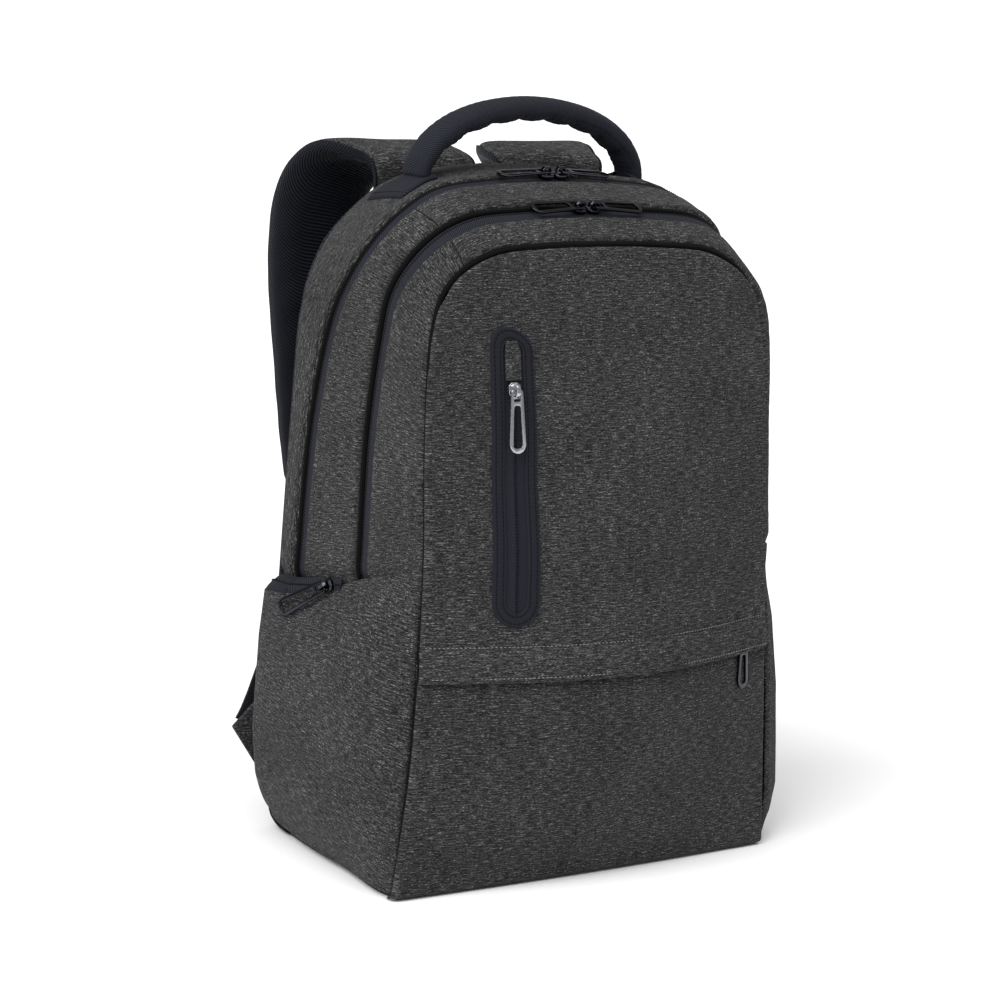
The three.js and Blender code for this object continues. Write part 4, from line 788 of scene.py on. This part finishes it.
def beads(name, path, pitch, size, material):
    """One small bead modelled once, repeated along a path."""
    path = np.asarray(path) * MM
    length = float(np.sum(np.linalg.norm(np.diff(path, axis=0), axis=1)))
    count = max(2, int(length / (pitch * MM)))
    curve_data = bpy.data.curves.new(name + "_path", "CURVE")
    curve_data.dimensions = "3D"
    spline = curve_data.splines.new("POLY")
    spline.points.add(len(path) - 1)
    spline.points.foreach_set("co", np.hstack([path, np.ones((len(path), 1))]).ravel())
    guide = bpy.data.objects.new(name + "_path", curve_data)
    bpy.context.scene.collection.objects.link(guide)
    deselect()
    bpy.ops.mesh.primitive_uv_sphere_add(segments=8, ring_count=5, radius=0.5)
    piece = bpy.context.object
    piece.name = name
    piece.data.transform(Matrix.Diagonal((size[0] * MM, size[1] * MM, size[2] * MM, 1.0)))
    piece.data.transform(Matrix.Translation((length / count / 2, 0, 0)))
    apply_modifier(piece, "ARRAY", count=count, use_relative_offset=False, use_constant_offset=True,
                   constant_offset_displace=(length / count, 0.0, 0.0))
    apply_modifier(piece, "CURVE", object=guide, deform_axis="POS_X")
    bpy.data.objects.remove(guide)
    return finish_piece(piece, "bag", [], material)


long_zip("front_zip_tape", "front_zip", 1, FRONT_ZIP_WIDTH)
long_zip("rear_zip_tape", "rear_zip", 2, REAR_ZIP_WIDTH)


# Front of the bag. The upper panel and the flap are one cloth, with the flap's stitch line
# across it; the lower panel comes up behind the flap.
def panel_grid(seam, z_rows, crown_rows, u_step, side_edge, top_edge=None):
    """Stations, u and lift of a panel's grid. Its sides, and its top if given, are turned in."""
    station = np.concatenate([level_station(seam, z_rows), crown_rows])
    half = np.abs(SEAMS[seam](station)[:, 0])
    share, offset, col_lift = places(2 * half.max(), u_step, side_edge, side_edge)
    u = 2 * share[None, :] - 1 + offset[None, :] / half[:, None]
    station = np.broadcast_to(station[:, None], u.shape)
    lift = np.broadcast_to(col_lift[None, :], u.shape).copy()
    if top_edge:
        radius, depth = top_edge
        top = SEAMS[seam](SHOULDER_STATION + (LAST_STATION - 2 * SHOULDER_STATION) * (u + 1) / 2)
        rest = top[..., 2] - panel_point(seam, u, station)[..., 2]
        inside = np.clip(1 - rest / radius, 0, 1)
        lift = np.minimum(lift, -radius * (1 - np.sqrt(np.maximum(1 - inside ** 2, 0))))
        lift[-1] = -depth
    return station, u, lift


CROWN_ROWS = np.array([4.62, 4.75, 4.9, 5.05, 5.2, 5.35, 5.5, 5.6, 5.7, 5.78, 5.84, 5.89, 5.93, 5.96,
                       5.975, 5.985, 5.993, 5.998, 6.0])
FLAP_PROUD = 4.6


def front_upper():
    z_rows = np.concatenate([
        [FLAP_EDGE_Z, FLAP_EDGE_Z + 0.02, FLAP_EDGE_Z + 0.3, FLAP_EDGE_Z + 1.0],
        np.arange(FLAP_EDGE_Z + 2.2, 348, 2.2)])
    station, u, lift = panel_grid(0, z_rows, CROWN_ROWS, 2.3, (3.0, 3.3), (3.0, 3.3))
    x, z = panel_flat(0, u, station)
    drop = np.clip((FLAP_TOP_Z - z) / (FLAP_TOP_Z - FLAP_EDGE_Z), 0, 1)
    side = np.minimum(1, (1 - np.abs(u)) * 12)
    lift = lift + FLAP_PROUD * smoothstep(drop, 0.0, 0.45) * (0.35 + 0.65 * side)
    lift[0] -= 2.4
    lift[1] -= 1.0
    lift[2] -= 0.3
    lift = lift - 0.7 * np.exp(-((z - FLAP_TOP_Z) / 1.6) ** 2)
    edge = BODY_WIDTH / 2 * (1 - np.abs(u))
    lift = lift - 0.5 * gathers(71, z, 8) * np.exp(-edge / 5)
    lift = lift + 0.6 * ripples(72, x, z, 110) * np.minimum(1, edge / 30)
    cloth("front_upper_and_flap", panel(0, u, station, lift), flat_map(x, z), False, 1.5,
          ["front_panel_upper", "front_flap"], HEATHER)


# A panel's foot rolls under in rows at these angles, this many millimetres of cloth below.
ROLL_ANGLES = np.radians([90, 72, 54, 36, 18])
ROLL_RUN = np.linspace(9, 2, 5)


def foot_map(uv):
    """Carries a panel's pattern on over the rows of its rolled foot."""
    return np.concatenate([uv[:1] - np.array([0, 1.0]) * ROLL_RUN[:, None, None], uv])


def foot_roll(points, inward, floor=0.5):
    """Rolls the lowest row of a panel under, down to the floor."""
    row = points[0]
    radius = np.maximum(row[:, 2:3] - floor, 0.2)
    steps = []
    for a in ROLL_ANGLES:
        steps.append(row + inward * radius * (1 - math.cos(a)) * 1.6
                     - np.array([0, 0, 1.0]) * radius * math.sin(a))
    return np.concatenate([np.array(steps), points])


def front_lower():
    z_rows = np.concatenate([[4.2], np.arange(6.0, FLAP_EDGE_Z + 12, 2.3)])
    station, u, lift = panel_grid(0, z_rows, np.zeros(0), 2.3, (3.0, 3.3))
    x, z = panel_flat(0, u, station)
    edge = BODY_WIDTH / 2 * (1 - np.abs(u))
    lift = lift - 2.6 * smoothstep(z, FLAP_EDGE_Z - 4, FLAP_EDGE_Z + 6)
    lift = lift - 0.5 * gathers(75, z, 8) * np.exp(-edge / 5)
    lift = lift + 0.7 * ripples(76, x, z, 120) * np.minimum(1, edge / 30) * np.minimum(1, z / 40)
    points = foot_roll(panel(0, u, station, lift), np.array([0.0, 1.0, 0.0]))
    cloth("front_lower_cloth", points, foot_map(flat_map(x, z)), False, 1.5,
          ["front_panel_lower"], HEATHER)


front_upper()
front_lower()

# Side pockets. Each row of the puff is a share of the height and how far the cloth stands out.
LEFT_PUFFS = ((0.006, 0.5), (0.040, 7.0), (0.090, 14.0), (0.160, 18.0), (0.300, 19.0), (0.370, 16.0),
              (0.430, 9.0))
RIGHT_PUFFS = ((0.006, 10.0), (0.040, 21.0), (0.080, 27.0), (0.150, 27.5), (0.240, 27.0),
               (0.350, 21.0), (0.430, 11.0))
POCKET_WIDTH = 178.0
POCKET_HEIGHT = 190.0
POCKET_FRONT_INSET = 1.9
FRONT_BAND_WIDTH = 62.0
REAR_BAND_WIDTH = 31.0
HEEL_TUCK = 5.5
CLOTH_TILT = 0.2
RELAX_TIMES = 160


def pocket_puff(side, station, across):
    """How far a pocket stands out: the right one is fuller near the front."""
    height = skin_point(station, across)[..., 2] / BODY_HEIGHT
    rows = LEFT_PUFFS if side == "left" else RIGHT_PUFFS
    size = np.interp(height, [r[0] for r in rows], [r[1] for r in rows])
    if side == "left":
        return size * (1 - np.abs(2 * across / 3 - 1) ** 7)
    rise = 1 - np.abs(1 - np.minimum(across / 0.42, 1)) ** 3.2
    fall = 1 - np.clip((across - 1.2) / 1.8, 0, 1) ** 4
    return size * rise * fall


def below_top(across, drop):
    """The station that lies drop millimetres below a pocket's top edge."""
    here = skin_point(POCKET_TOP_STATION, across)[..., 2]
    below = skin_point(POCKET_TOP_STATION - 0.1, across)[..., 2]
    return POCKET_TOP_STATION - 0.1 * drop / (here - below)


def let_out(across):
    """From 0 where a pocket's top is sewn down to 1 where its zip lets it stand off."""
    return smoothstep(across, ZIP_END_ACROSS, ZIP_END_ACROSS + 0.9)


def relaxed(points):
    """Evens out the kinks between bands, its first and last lines held."""
    points = np.swapaxes(points, 0, 1).copy()
    for _ in range(RELAX_TIMES):
        points[1:-1] += 0.5 * ((points[:-2] + points[2:]) / 2 - points[1:-1])
    return np.swapaxes(points, 0, 1)


def pocket(side, seed):
    share, offset, col_lift = places(POCKET_WIDTH, 2.0, (3.0, 8.0), (2.0, 5.0))
    first = (FRONT_CLOTH + POCKET_FRONT_INSET) / FRONT_BAND_WIDTH
    last = 3 - (BACK_PAD / 2 + BACK_CLEARANCE) / REAR_BAND_WIDTH
    run = share * POCKET_WIDTH + offset
    across = first + (last - first) * run / POCKET_WIDTH
    zipped = smoothstep(across, ZIP_END_ACROSS - 0.10, ZIP_END_ACROSS + 0.10)
    top = below_top(across, zipped * POCKET_ZIP_HEIGHT)
    share, offset, row_lift = places(POCKET_HEIGHT, 2.2, (0.2, 0.1), (1.4, 3.0))
    height = np.clip(share + offset / POCKET_HEIGHT, 0, 1)[:, None]
    station = FOOT_STATION + (top[None, :] - FOOT_STATION) * height
    across = np.broadcast_to(across[None, :], station.shape)
    puff = pocket_puff(side, station, across)
    closing = smoothstep(height, 0.86, 1.0)
    open_front = (1 - smoothstep(across, 0.35, 0.9)) * (side == "right")
    drawn_in = closing * (1 - let_out(across)) * (1 - 0.88 * open_front)
    puff = puff * (1 - drawn_in) * (1 + 0.5 * closing * open_front)
    edge = np.minimum(run, POCKET_WIDTH - run)[None, :]
    z = height * POCKET_HEIGHT
    lift = puff + col_lift[None, :] + row_lift[:, None]
    lift = lift - (0.5 if side == "left" else 0.2) * gathers(seed, z + 0 * edge, 9) * np.exp(-edge / 6)
    lift = lift + 0.9 * ripples(seed + 1, run[None, :], z, 80) * np.minimum(1, edge / 25)
    lift = lift - HEEL_TUCK * np.exp(-z / 10) * smoothstep(across, 0.2, 1.2)
    base = relaxed(skin_point(station, across))
    normal = relaxed(skin_normal(station, across))
    points = base + unit(normal) * lift[..., None]
    outward = unit(normal)[0]
    outward[:, 2] = 0
    points = foot_roll(points, -unit(outward))
    cut = run_along(points[len(points) // 2])[None, :]
    uv = foot_map(flat_map(cut + CLOTH_TILT * z, z - CLOTH_TILT * cut)) + seed * 13.0
    cloth(f"side_pocket_{side}_cloth", on_side(points, side), uv, side == "left", 1.5,
          [f"side_pocket_{side}"], HEATHER)


def pocket_zip(side):
    across = np.linspace(ZIP_END_ACROSS - 0.06, 2.9, 60)[None, :]
    share = np.linspace(0, 1, 9)[:, None]
    low = below_top(across, POCKET_ZIP_HEIGHT + 1.5)
    corner = 1 - np.sqrt(1 - np.clip((across - 2.3) / 0.6, 0, 1) ** 2)
    high = below_top(across, 9.0 * corner)
    near = skin(low, across, pocket_puff(side, low, across) * let_out(across) - 1.2)
    far = skin(high, across, 0.5)
    points = near + (far - near) * share[..., None]
    points = points + skin_normal(low, across) * (1.2 * np.sin(share * math.pi))[..., None]
    points = on_side(points, side)
    uv = flat_map((across - across[0, 0]) * 50, share * 12)
    cloth(f"pocket_zip_{side}_tape", points, uv, side == "left", 1.0,
          [f"pocket_zip_{side}"], ZIP_TAPE)
    beads(f"pocket_zip_{side}_coil", points[5], COIL_PITCH, (1.5, 2.2, 1.2), COIL)


for side, seed in (("left", 81), ("right", 91)):
    pocket(side, seed)
    pocket_zip(side)


# Upright zip pocket: a twill surround with rounded edges and two rows of dark stitches.
def stadium(half_width, half_length, count):
    """Points round a stadium, from its right side upwards."""
    straight = half_length - half_width
    around = 2 * math.pi * half_width + 4 * straight
    points = []
    for k in range(count):
        d = around * k / count
        if d < straight:
            points.append((half_width, d))
            continue
        d -= straight
        if d < math.pi * half_width:
            a = d / half_width
            points.append((half_width * math.cos(a), straight + half_width * math.sin(a)))
            continue
        d -= math.pi * half_width
        if d < 2 * straight:
            points.append((-half_width, straight - d))
            continue
        d -= 2 * straight
        if d < math.pi * half_width:
            a = math.pi + d / half_width
            points.append((half_width * math.cos(a), -straight + half_width * math.sin(a)))
            continue
        d -= math.pi * half_width
        points.append((half_width, -straight + d))
    return np.array(points)


UPRIGHT_MIDDLE_Z = UPRIGHT_TOP_Z - UPRIGHT_LENGTH / 2


def upright_x(z):
    """The middle of the upright zip, which leans a little."""
    return UPRIGHT_X + 0.5 + 2.0 * (z - UPRIGHT_MIDDLE_Z) / (UPRIGHT_LENGTH / 2)


def surround_ring(inset, lift):
    flat = stadium(SURROUND_WIDTH / 2 - inset, UPRIGHT_LENGTH / 2 - SURROUND_TRIM - inset, 220)
    z = UPRIGHT_MIDDLE_Z + flat[:, 1]
    return front_at(upright_x(z) + flat[:, 0], z, lift)


def zip_surround():
    width = (SURROUND_WIDTH - SLOT_WIDTH) / 2
    profile = [(0.0, -0.6), (0.0, 0.7), (0.2, 1.3), (0.6, 1.7), (1.2, 1.85), (1.9, 1.8), (2.4, 1.5),
               (3.0, 1.85), (4.0, 2.05), (5.6, 2.05), (6.4, 1.85), (7.0, 1.5), (7.6, 1.85), (8.2, 2.0),
               (8.8, 1.75), (9.1, 1.3), (width, 0.8), (width, -0.6)]
    rings = np.array([surround_ring(inset, lift) for inset, lift in profile])
    rings = np.concatenate([rings, rings[:, :1]], axis=1)
    inset = np.array([p[0] for p in profile])
    uv = flat_map(np.linspace(0, 480, rings.shape[1]), inset[:, None])
    piece = grid_piece("zip_surround_twill", rings, uv)
    edit(piece, (bpy.ops.mesh.remove_doubles, {"threshold": 1e-6}))
    apply_modifier(piece, "SOLIDIFY", thickness=0.8 * MM, offset=-1.0)
    finish_piece(piece, "bag", ["zip_surround"], SMOOTH_TWILL)
    for row, inset in (("outer", 2.4), ("inner", 7.0)):
        ring = surround_ring(inset, 1.75)
        beads(f"surround_{row}_stitches", np.vstack([ring, ring[:1]]), 3.0, (2.2, 0.7, 0.7),
              DARK_THREAD)


def upright_tape():
    half = SLOT_WIDTH / 2 + 1.5
    x = np.linspace(-half, half, 13)[None, :]
    end = SURROUND_WIDTH / 2 + SURROUND_TRIM - 3
    z = np.linspace(UPRIGHT_TOP_Z - UPRIGHT_LENGTH + end - 6, UPRIGHT_TOP_Z - end + 6, 90)[:, None]
    points = front_at(upright_x(z) + x, z, 0.45 + 0.9 * np.exp(-(x / 2.4) ** 2))
    cloth("upright_zip_tape", points, flat_map(x, z), False, 0.6, ["zip_tape"], ZIP_TAPE)
    line = front_at(upright_x(z[:, 0]), z[:, 0], 1.35)
    beads("upright_zip_coil", line, COIL_PITCH, (1.5, 2.8, 1.2), COIL)


def zip_garage():
    top = UPRIGHT_TOP_Z - (SURROUND_WIDTH - SLOT_WIDTH) / 2 - 2.5
    x = np.linspace(-1, 1, 15)[None, :]
    share = np.linspace(0, 1, 20)[:, None]
    half = (SLOT_WIDTH / 2 - 1.2) * (0.75 + 0.25 * smoothstep(share, 0, 0.3))
    z = top - 2 - 26 * share
    lift = 2.4 + 1.0 * (1 - x ** 2) * (0.4 + 0.6 * share) - 0.9 * np.abs(x) ** 6
    points = front_at(upright_x(z) + x * half, z, lift)
    cloth("zip_garage_cloth", points[::-1], flat_map(x * half, z)[::-1], False, 1.0,
          ["zip_garage"], HEATHER)


zip_surround()
upright_tape()
zip_garage()


# Stitches of the flap: a pale row along its top and one along its hem.
def flap_stitches():
    x = np.linspace(-146, 146, 160)
    for name, z, lift in (("top", FLAP_TOP_Z, -0.25), ("hem", FLAP_EDGE_Z + 3.2, FLAP_PROUD * 0.98)):
        line = front_at(x, z, lift)
        beads(f"flap_{name}_stitches", line, 3.1, (2.0, 0.55, 0.55), PALE_THREAD)


flap_stitches()


# Back panel: a padded panel of air mesh, its edge turned in.
def back_panel():
    z_rows = np.arange(16.0, 360, 3.5)
    station, u, lift = panel_grid(3, z_rows, CROWN_ROWS, 3.5, (4.0, 6.0), (4.0, 6.0))
    x, z = panel_flat(3, u, station)
    edge = BODY_WIDTH / 2 * (1 - np.abs(u))
    lift = lift + 0.8 * ripples(77, x, z, 90) * np.minimum(1, edge / 30)
    points = foot_roll(panel(3, u, station, lift), np.array([0.0, -1.0, 0.0]), 2.0)
    piece = cloth("back_panel_mesh", points, foot_map(flat_map(x, z)), True, 3.0,
                  ["back_panel"], AIR_MESH)


# Base: the same heather cloth, flat where it stands and lifting into its seams.
def base_panel():
    across = np.linspace(0, 1, 60)[:, None]
    u = np.linspace(-1, 1, 90)[None, :]
    edge = skin_point(FOOT_STATION, across * 3)
    bow = -FRONT_BULGE * 0.12 * np.maximum(0, 1 - u * u) ** BULGE_POWER * (1 - across) ** 4
    shrink = 1 - (5.0 + 5.0 * smoothstep(across, 0.07, 0.4)) / (BODY_WIDTH / 2)
    x = np.abs(edge[..., 0]) * u * shrink
    y = edge[..., 1] + bow + 5 * (1 - across) - 4 * across
    rise = np.interp(across, [0, 0.8, 0.92, 1], [0, 0, 0.35, 1]) * (edge[..., 2] - 3)
    points = np.stack(np.broadcast_arrays(x, y, 0.05 + rise), axis=-1)
    cloth("base_panel_cloth", points, flat_map(x, y), True, 1.5, ["base_panel"], HEATHER)


back_panel()
base_panel()

# Carrying handle.
HANDLE_PATH = ((1.00, 0.00), (0.97, 0.20), (0.88, 0.44), (0.72, 0.68), (0.52, 0.85), (0.27, 0.96),
               (0.00, 1.00))
HANDLE_HALF_SPAN = 93.0
HANDLE_Y = 50.0
HANDLE_RISE = 46.0
GRIP_THICK = 16.0
GRIP_WIDTH = 25.0


def rear_at(out, y, lift):
    """A point of the rear band's left half, by its distance from the middle and its depth."""
    out, y = np.broadcast_arrays(np.asarray(out, float), np.asarray(y, float))
    low = np.full(out.shape, 4.0)
    high = np.full(out.shape, 10.0)
    for _ in range(40):
        station = (low + high) / 2
        near = skin_point(station, 2)[..., 1]
        far = skin_point(station, 3)[..., 1]
        across = 2 + (y - near) / (far - near)
        wide = -skin_point(station, across)[..., 0] > out
        low = np.where(wide, station, low)
        high = np.where(wide, high, station)
    return skin(station, across, lift)


def handle():
    foot_z = rear_at(HANDLE_HALF_SPAN, HANDLE_Y, 4.0)[2]
    left = [(-s * HANDLE_HALF_SPAN, HANDLE_Y, foot_z + r * HANDLE_RISE) for s, r in HANDLE_PATH]
    run_at = smooth_run(left + [(-x, y, z) for x, y, z in left[-2::-1]])
    t = np.linspace(0, 12, 1200)
    length = run_along(run_at(t))
    share = np.linspace(0, 1, 300)
    t_at = np.interp(share * length[-1], length, t)
    centre = run_at(t_at)
    along = unit(run_at(t_at + 0.02) - run_at(t_at - 0.02))
    across = np.array([0.0, 1.0, 0.0])
    out = unit(np.cross(along, across))
    end = np.minimum(share, 1 - share) * 8
    thick = GRIP_THICK * (0.8 + 0.2 * np.minimum(1, end))
    angle = np.linspace(0, 2 * math.pi, 56, endpoint=False)[None, :]
    cosine = np.cos(angle)
    sine = np.sin(angle)
    mm_run = (share * length[-1])[:, None]
    scallop = np.abs(np.sin(math.pi * 9 * share))[:, None]
    under = np.clip(-sine, 0, 1)
    sides = cosine ** 2
    wrinkle = gathers(101, mm_run + 3 * cosine, 5.5)
    fade = np.minimum(1, end * 1.5)[:, None]
    swell = (under ** 0.7) * (2.4 * scallop - 1.6) * fade
    swell = swell + 0.9 * (wrinkle - 0.5) * (0.15 + 0.85 * np.maximum(under, 0.6 * sides)) * fade
    crease = np.exp(-((np.degrees(angle) - 208) / 7) ** 2) + np.exp(-((np.degrees(angle) - 332) / 7) ** 2)
    swell = swell - 1.1 * crease * fade
    wide, high = box_round(angle, 0.85, 0.9)
    y = wide * GRIP_WIDTH / 2 + cosine * swell * 0.4
    r = high * thick[:, None] / 2 + sine * swell
    rings = centre[:, None, :] + across * y[..., None] + out[:, None, :] * r[..., None]
    rings[0, :, 2] -= 2.0
    rings[-1, :, 2] -= 2.0
    uv = flat_map(np.linspace(0, 66, 57), mm_run)
    piece = tube("handle_grip_twill", rings, uv, ["handle_grip"], TWILL)


def handle_foot(side):
    out = np.linspace(-8, 24, 30)[:, None]
    half = np.linspace(-1, 1, 34)[None, :]
    reach = 14.5 + 5.0 * smoothstep(out, -4, 16)
    edge = np.minimum((24 - out) / 3, reach * (1 - np.abs(half)) / 3)
    round_edge = np.sqrt(np.clip(1 - (1 - np.clip(edge, 0, 1)) ** 2, 0, 1))
    lift = 0.2 + 2.2 * round_edge + 0.5 * gathers(111, half * reach, 7) * smoothstep(out, 12, -8)
    lift = lift + 3.5 * np.exp(-((out + 2) / 7) ** 2) * np.exp(-(half / 0.62) ** 4)
    points = rear_at(HANDLE_HALF_SPAN + out, HANDLE_Y + half * reach, lift)
    hem = rear_at(HANDLE_HALF_SPAN + 20.5, HANDLE_Y + np.linspace(-18, 18, 30), 2.6)
    cloth(f"handle_foot_{side}_twill", on_side(points, side), flat_map(out, half * reach),
          side == "right", 1.0, [f"handle_foot_{side}"], TWILL)
    beads(f"handle_foot_{side}_stitches", on_side(hem, side), 3.0, (2.2, 0.7, 0.7), DARK_THREAD)


handle()
for side in ("left", "right"):
    handle_foot(side)

# Shoulder straps: share of half the width, of half the depth and of the height, then of half
# the strap's width and of its thickness.
STRAP_ROWS = (
    (0.370, 0.955, 0.934, 1.22, 0.40), (0.365, 0.932, 0.968, 1.26, 0.46),
    (0.370, 0.980, 0.998, 1.27, 0.75), (0.385, 1.135, 1.011, 1.25, 0.95),
    (0.435, 1.290, 1.014, 1.22, 1.00), (0.510, 1.437, 1.002, 1.16, 1.00),
    (0.600, 1.531, 0.974, 1.09, 1.00), (0.670, 1.562, 0.931, 1.04, 1.00),
    (0.700, 1.552, 0.878, 1.01, 1.00), (0.715, 1.490, 0.797, 0.98, 1.00),
    (0.715, 1.385, 0.700, 0.95, 1.00), (0.710, 1.281, 0.602, 0.93, 0.95),
    (0.700, 1.219, 0.518, 0.85, 0.80), (0.730, 1.187, 0.467, 0.50, 0.50),
)
STRAP_WIDTH = 66.0
STRAP_THICK = 13.0
STRAP_CUT = 0.35
STRAP_POWERS = (0.42, 0.62)
FULL_SECTION = 100


def strap_points(centre, width, out, wide, high):
    """Points round a strap's sections, by how far they lie across and out from its middle line."""
    return centre[:, None, :] + width[:, None, :] * wide[..., None] + out[:, None, :] * high[..., None]


def strap_frames(side):
    rows = [(-o * BODY_WIDTH / 2, b * BODY_DEPTH / 2, u * BODY_HEIGHT) for o, b, u, _, _ in STRAP_ROWS]
    run_at = smooth_run(rows)
    sizes = smooth_run([(h, k, 0.0) for _, _, _, h, k in STRAP_ROWS])
    t = np.linspace(0, 13, 2000)
    length = run_along(run_at(t))
    run = np.linspace(0, length[-1], 230)
    place = np.interp(run, length, t)
    centre = run_at(place)
    centre[:, 2] -= 3.0 * np.exp(-((place - 3.8) / 1.6) ** 2)
    along = run_at(place + 0.05) - run_at(place - 0.05)
    along[:, 0] *= np.where(place < 11, STRAP_CUT, 1.0)
    along = unit(along)
    width = unit(np.array([1.0, 0, 0]) - along * along[:, :1])
    out = unit(np.cross(width, along))
    half = sizes(place)[:, 0] * STRAP_WIDTH / 2
    if side == "right":
        half = half * (1 + 0.12 * np.exp(-((place - 3.2) / 1.8) ** 2))
    thick = sizes(place)[:, 1] * STRAP_THICK
    return run, centre, width, out, half, thick


def strap(side, seed):
    run, centre, width, out, half, thick = strap_frames(side)
    run = run[:, None]
    angle = np.linspace(0, 2 * math.pi, 72, endpoint=False)[None, :]
    w, h = box_round(angle, *STRAP_POWERS)
    w_mm = w * half[:, None] - np.sign(w) * 0.5 * gathers(seed, run, 8) * np.abs(w) ** 8
    h_mm = h * thick[:, None] / 2 * np.where(h > 0, 1.0, 0.92)
    h_mm = h_mm + 0.35 * ripples(seed + 1, run, w_mm, 50) * np.clip(h, 0, 1)
    rings = strap_points(centre, width, out, w_mm, h_mm)
    loop = np.concatenate([rings[FULL_SECTION], rings[FULL_SECTION][:1]])
    uv = flat_map(run_along(loop), run) + seed * 7.0
    piece = tube(f"strap_cover_{side}_cloth", on_side(rings, side), uv,
                 [f"strap_cover_{side}"], HEATHER)
    w, h = box_round(np.radians(np.linspace(173, 367, 49))[None, :], *STRAP_POWERS)
    wide = w * (half[:, None] + 0.7)
    high = h * (thick[:, None] / 2 * 0.95 + 1.0) + 0.4 * ripples(seed + 2, run, w * 30, 30)
    points = on_side(strap_points(centre, width, out, wide, high), side)
    lining = cloth(f"strap_lining_{side}_mesh", points, flat_map(np.linspace(-42, 42, 49), run),
                   side == "right", 1.2, [f"strap_lining_{side}"], LINING)


for side, seed in (("left", 121), ("right", 131)):
    strap(side, seed)


# Metal pulls, buckles and webbing are the CAD solids with their edges rounded.
def rounded_copy(node, name, body, material, radius):
    piece = frame["nodes"][node].copy()
    piece.data = piece.data.copy()
    piece.name = name
    piece.parent = None
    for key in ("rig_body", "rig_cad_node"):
        if key in piece:
            del piece[key]
    bpy.context.scene.collection.objects.link(piece)
    edit(piece, (bpy.ops.mesh.remove_doubles, {"threshold": 1e-6}),
         (bpy.ops.mesh.tris_convert_to_quads, {}))
    layer = piece.data.uv_layers[0] if piece.data.uv_layers else piece.data.uv_layers.new(name="UVMap")
    for corner in piece.data.loops:
        place = piece.data.vertices[corner.vertex_index].co
        layer.data[corner.index].uv = (place.x + place.y, place.z)
    apply_modifier(piece, "BEVEL", width=radius * MM, segments=3, limit_method="ANGLE",
                   angle_limit=math.radians(32), use_clamp_overlap=True)
    return finish_piece(piece, body, [node], material, smooth=False)


for pull in ("front_zip_left", "front_zip_right", "rear_zip_left", "rear_zip_right", "pocket_left",
             "pocket_right"):
    rounded_copy(f"{pull}_slider", f"{pull}_slider_cast", "bag", GUNMETAL, 0.4)
    rounded_copy(f"{pull}_tab", f"{pull}_tab_cast", f"{pull}_tab", GUNMETAL, 0.62)
rounded_copy("upright_zip_slider", "upright_zip_slider_cast", "bag", SILVER, 0.4)
rounded_copy("upright_zip_tab", "upright_zip_tab_cast", "upright_zip_tab", SILVER, 0.62)
rounded_copy("flap_tab", "flap_tab_cast", "bag", GUNMETAL, 0.62)
rounded_copy("flap_slider", "flap_slider_cast", "bag", GUNMETAL, 0.4)
for side in ("left", "right"):
    rounded_copy(f"strap_buckle_{side}", f"strap_buckle_{side}_moulded", "bag",
                 PLASTIC, 0.8)
    rounded_copy(f"lower_webbing_{side}", f"lower_webbing_{side}_woven", "bag", WEBBING, 0.4)
    rounded_copy(f"strap_wing_{side}", f"strap_wing_{side}_cloth", "bag", HEATHER, 1.0)
    wall = frame["nodes"][f"side_wall_{side}"].data
    wall.materials.clear()
    wall.materials.append(HEATHER)


# Floor and light: a white backdrop that only the camera's rays see, a dimmer white room, and two
# wide soft suns. Each sun has where it shines from, its width in degrees and its strength.
BACKDROP_STRENGTH = 1.05
ROOM_STRENGTH = 0.3
SUNS = (("key", (-1.6, -0.40, 1.45), 45, 2.7), ("top", (-0.1, -0.30, 1.5), 70, 1.7))


def stage():
    deselect()
    bpy.ops.mesh.primitive_plane_add(size=60, location=(0, 0, -0.0005))
    floor = bpy.context.object
    floor.name = "floor"
    floor.data.materials.append(pale_board())
    world = bpy.data.worlds.new("studio")
    bpy.context.scene.world = world
    world.use_nodes = True
    tree = world.node_tree
    backdrop = tree.nodes["Background"]
    backdrop.inputs["Color"].default_value = (1, 1, 1, 1)
    backdrop.inputs["Strength"].default_value = BACKDROP_STRENGTH
    room = add_node(tree, "ShaderNodeBackground", {
        "Color": (1, 1, 1, 1), "Strength": ROOM_STRENGTH})
    ray = add_node(tree, "ShaderNodeLightPath")
    both = add_node(tree, "ShaderNodeMixShader", {
        0: ray.outputs["Is Camera Ray"], 1: room.outputs["Background"], 2: backdrop.outputs["Background"]})
    tree.links.new(both.outputs["Shader"], tree.nodes["World Output"].inputs["Surface"])
    for name, spot, spread, power in SUNS:
        data = bpy.data.lights.new(name, "SUN")
        data.angle = math.radians(spread)
        data.energy = power
        light = bpy.data.objects.new(name, data)
        aim = -Vector(spot)
        light.matrix_world = Matrix.Translation(spot) @ aim.to_track_quat("-Z", "Y").to_matrix().to_4x4()
        bpy.context.scene.collection.objects.link(light)


stage()
bpy.context.scene.view_settings.view_transform = "Standard"
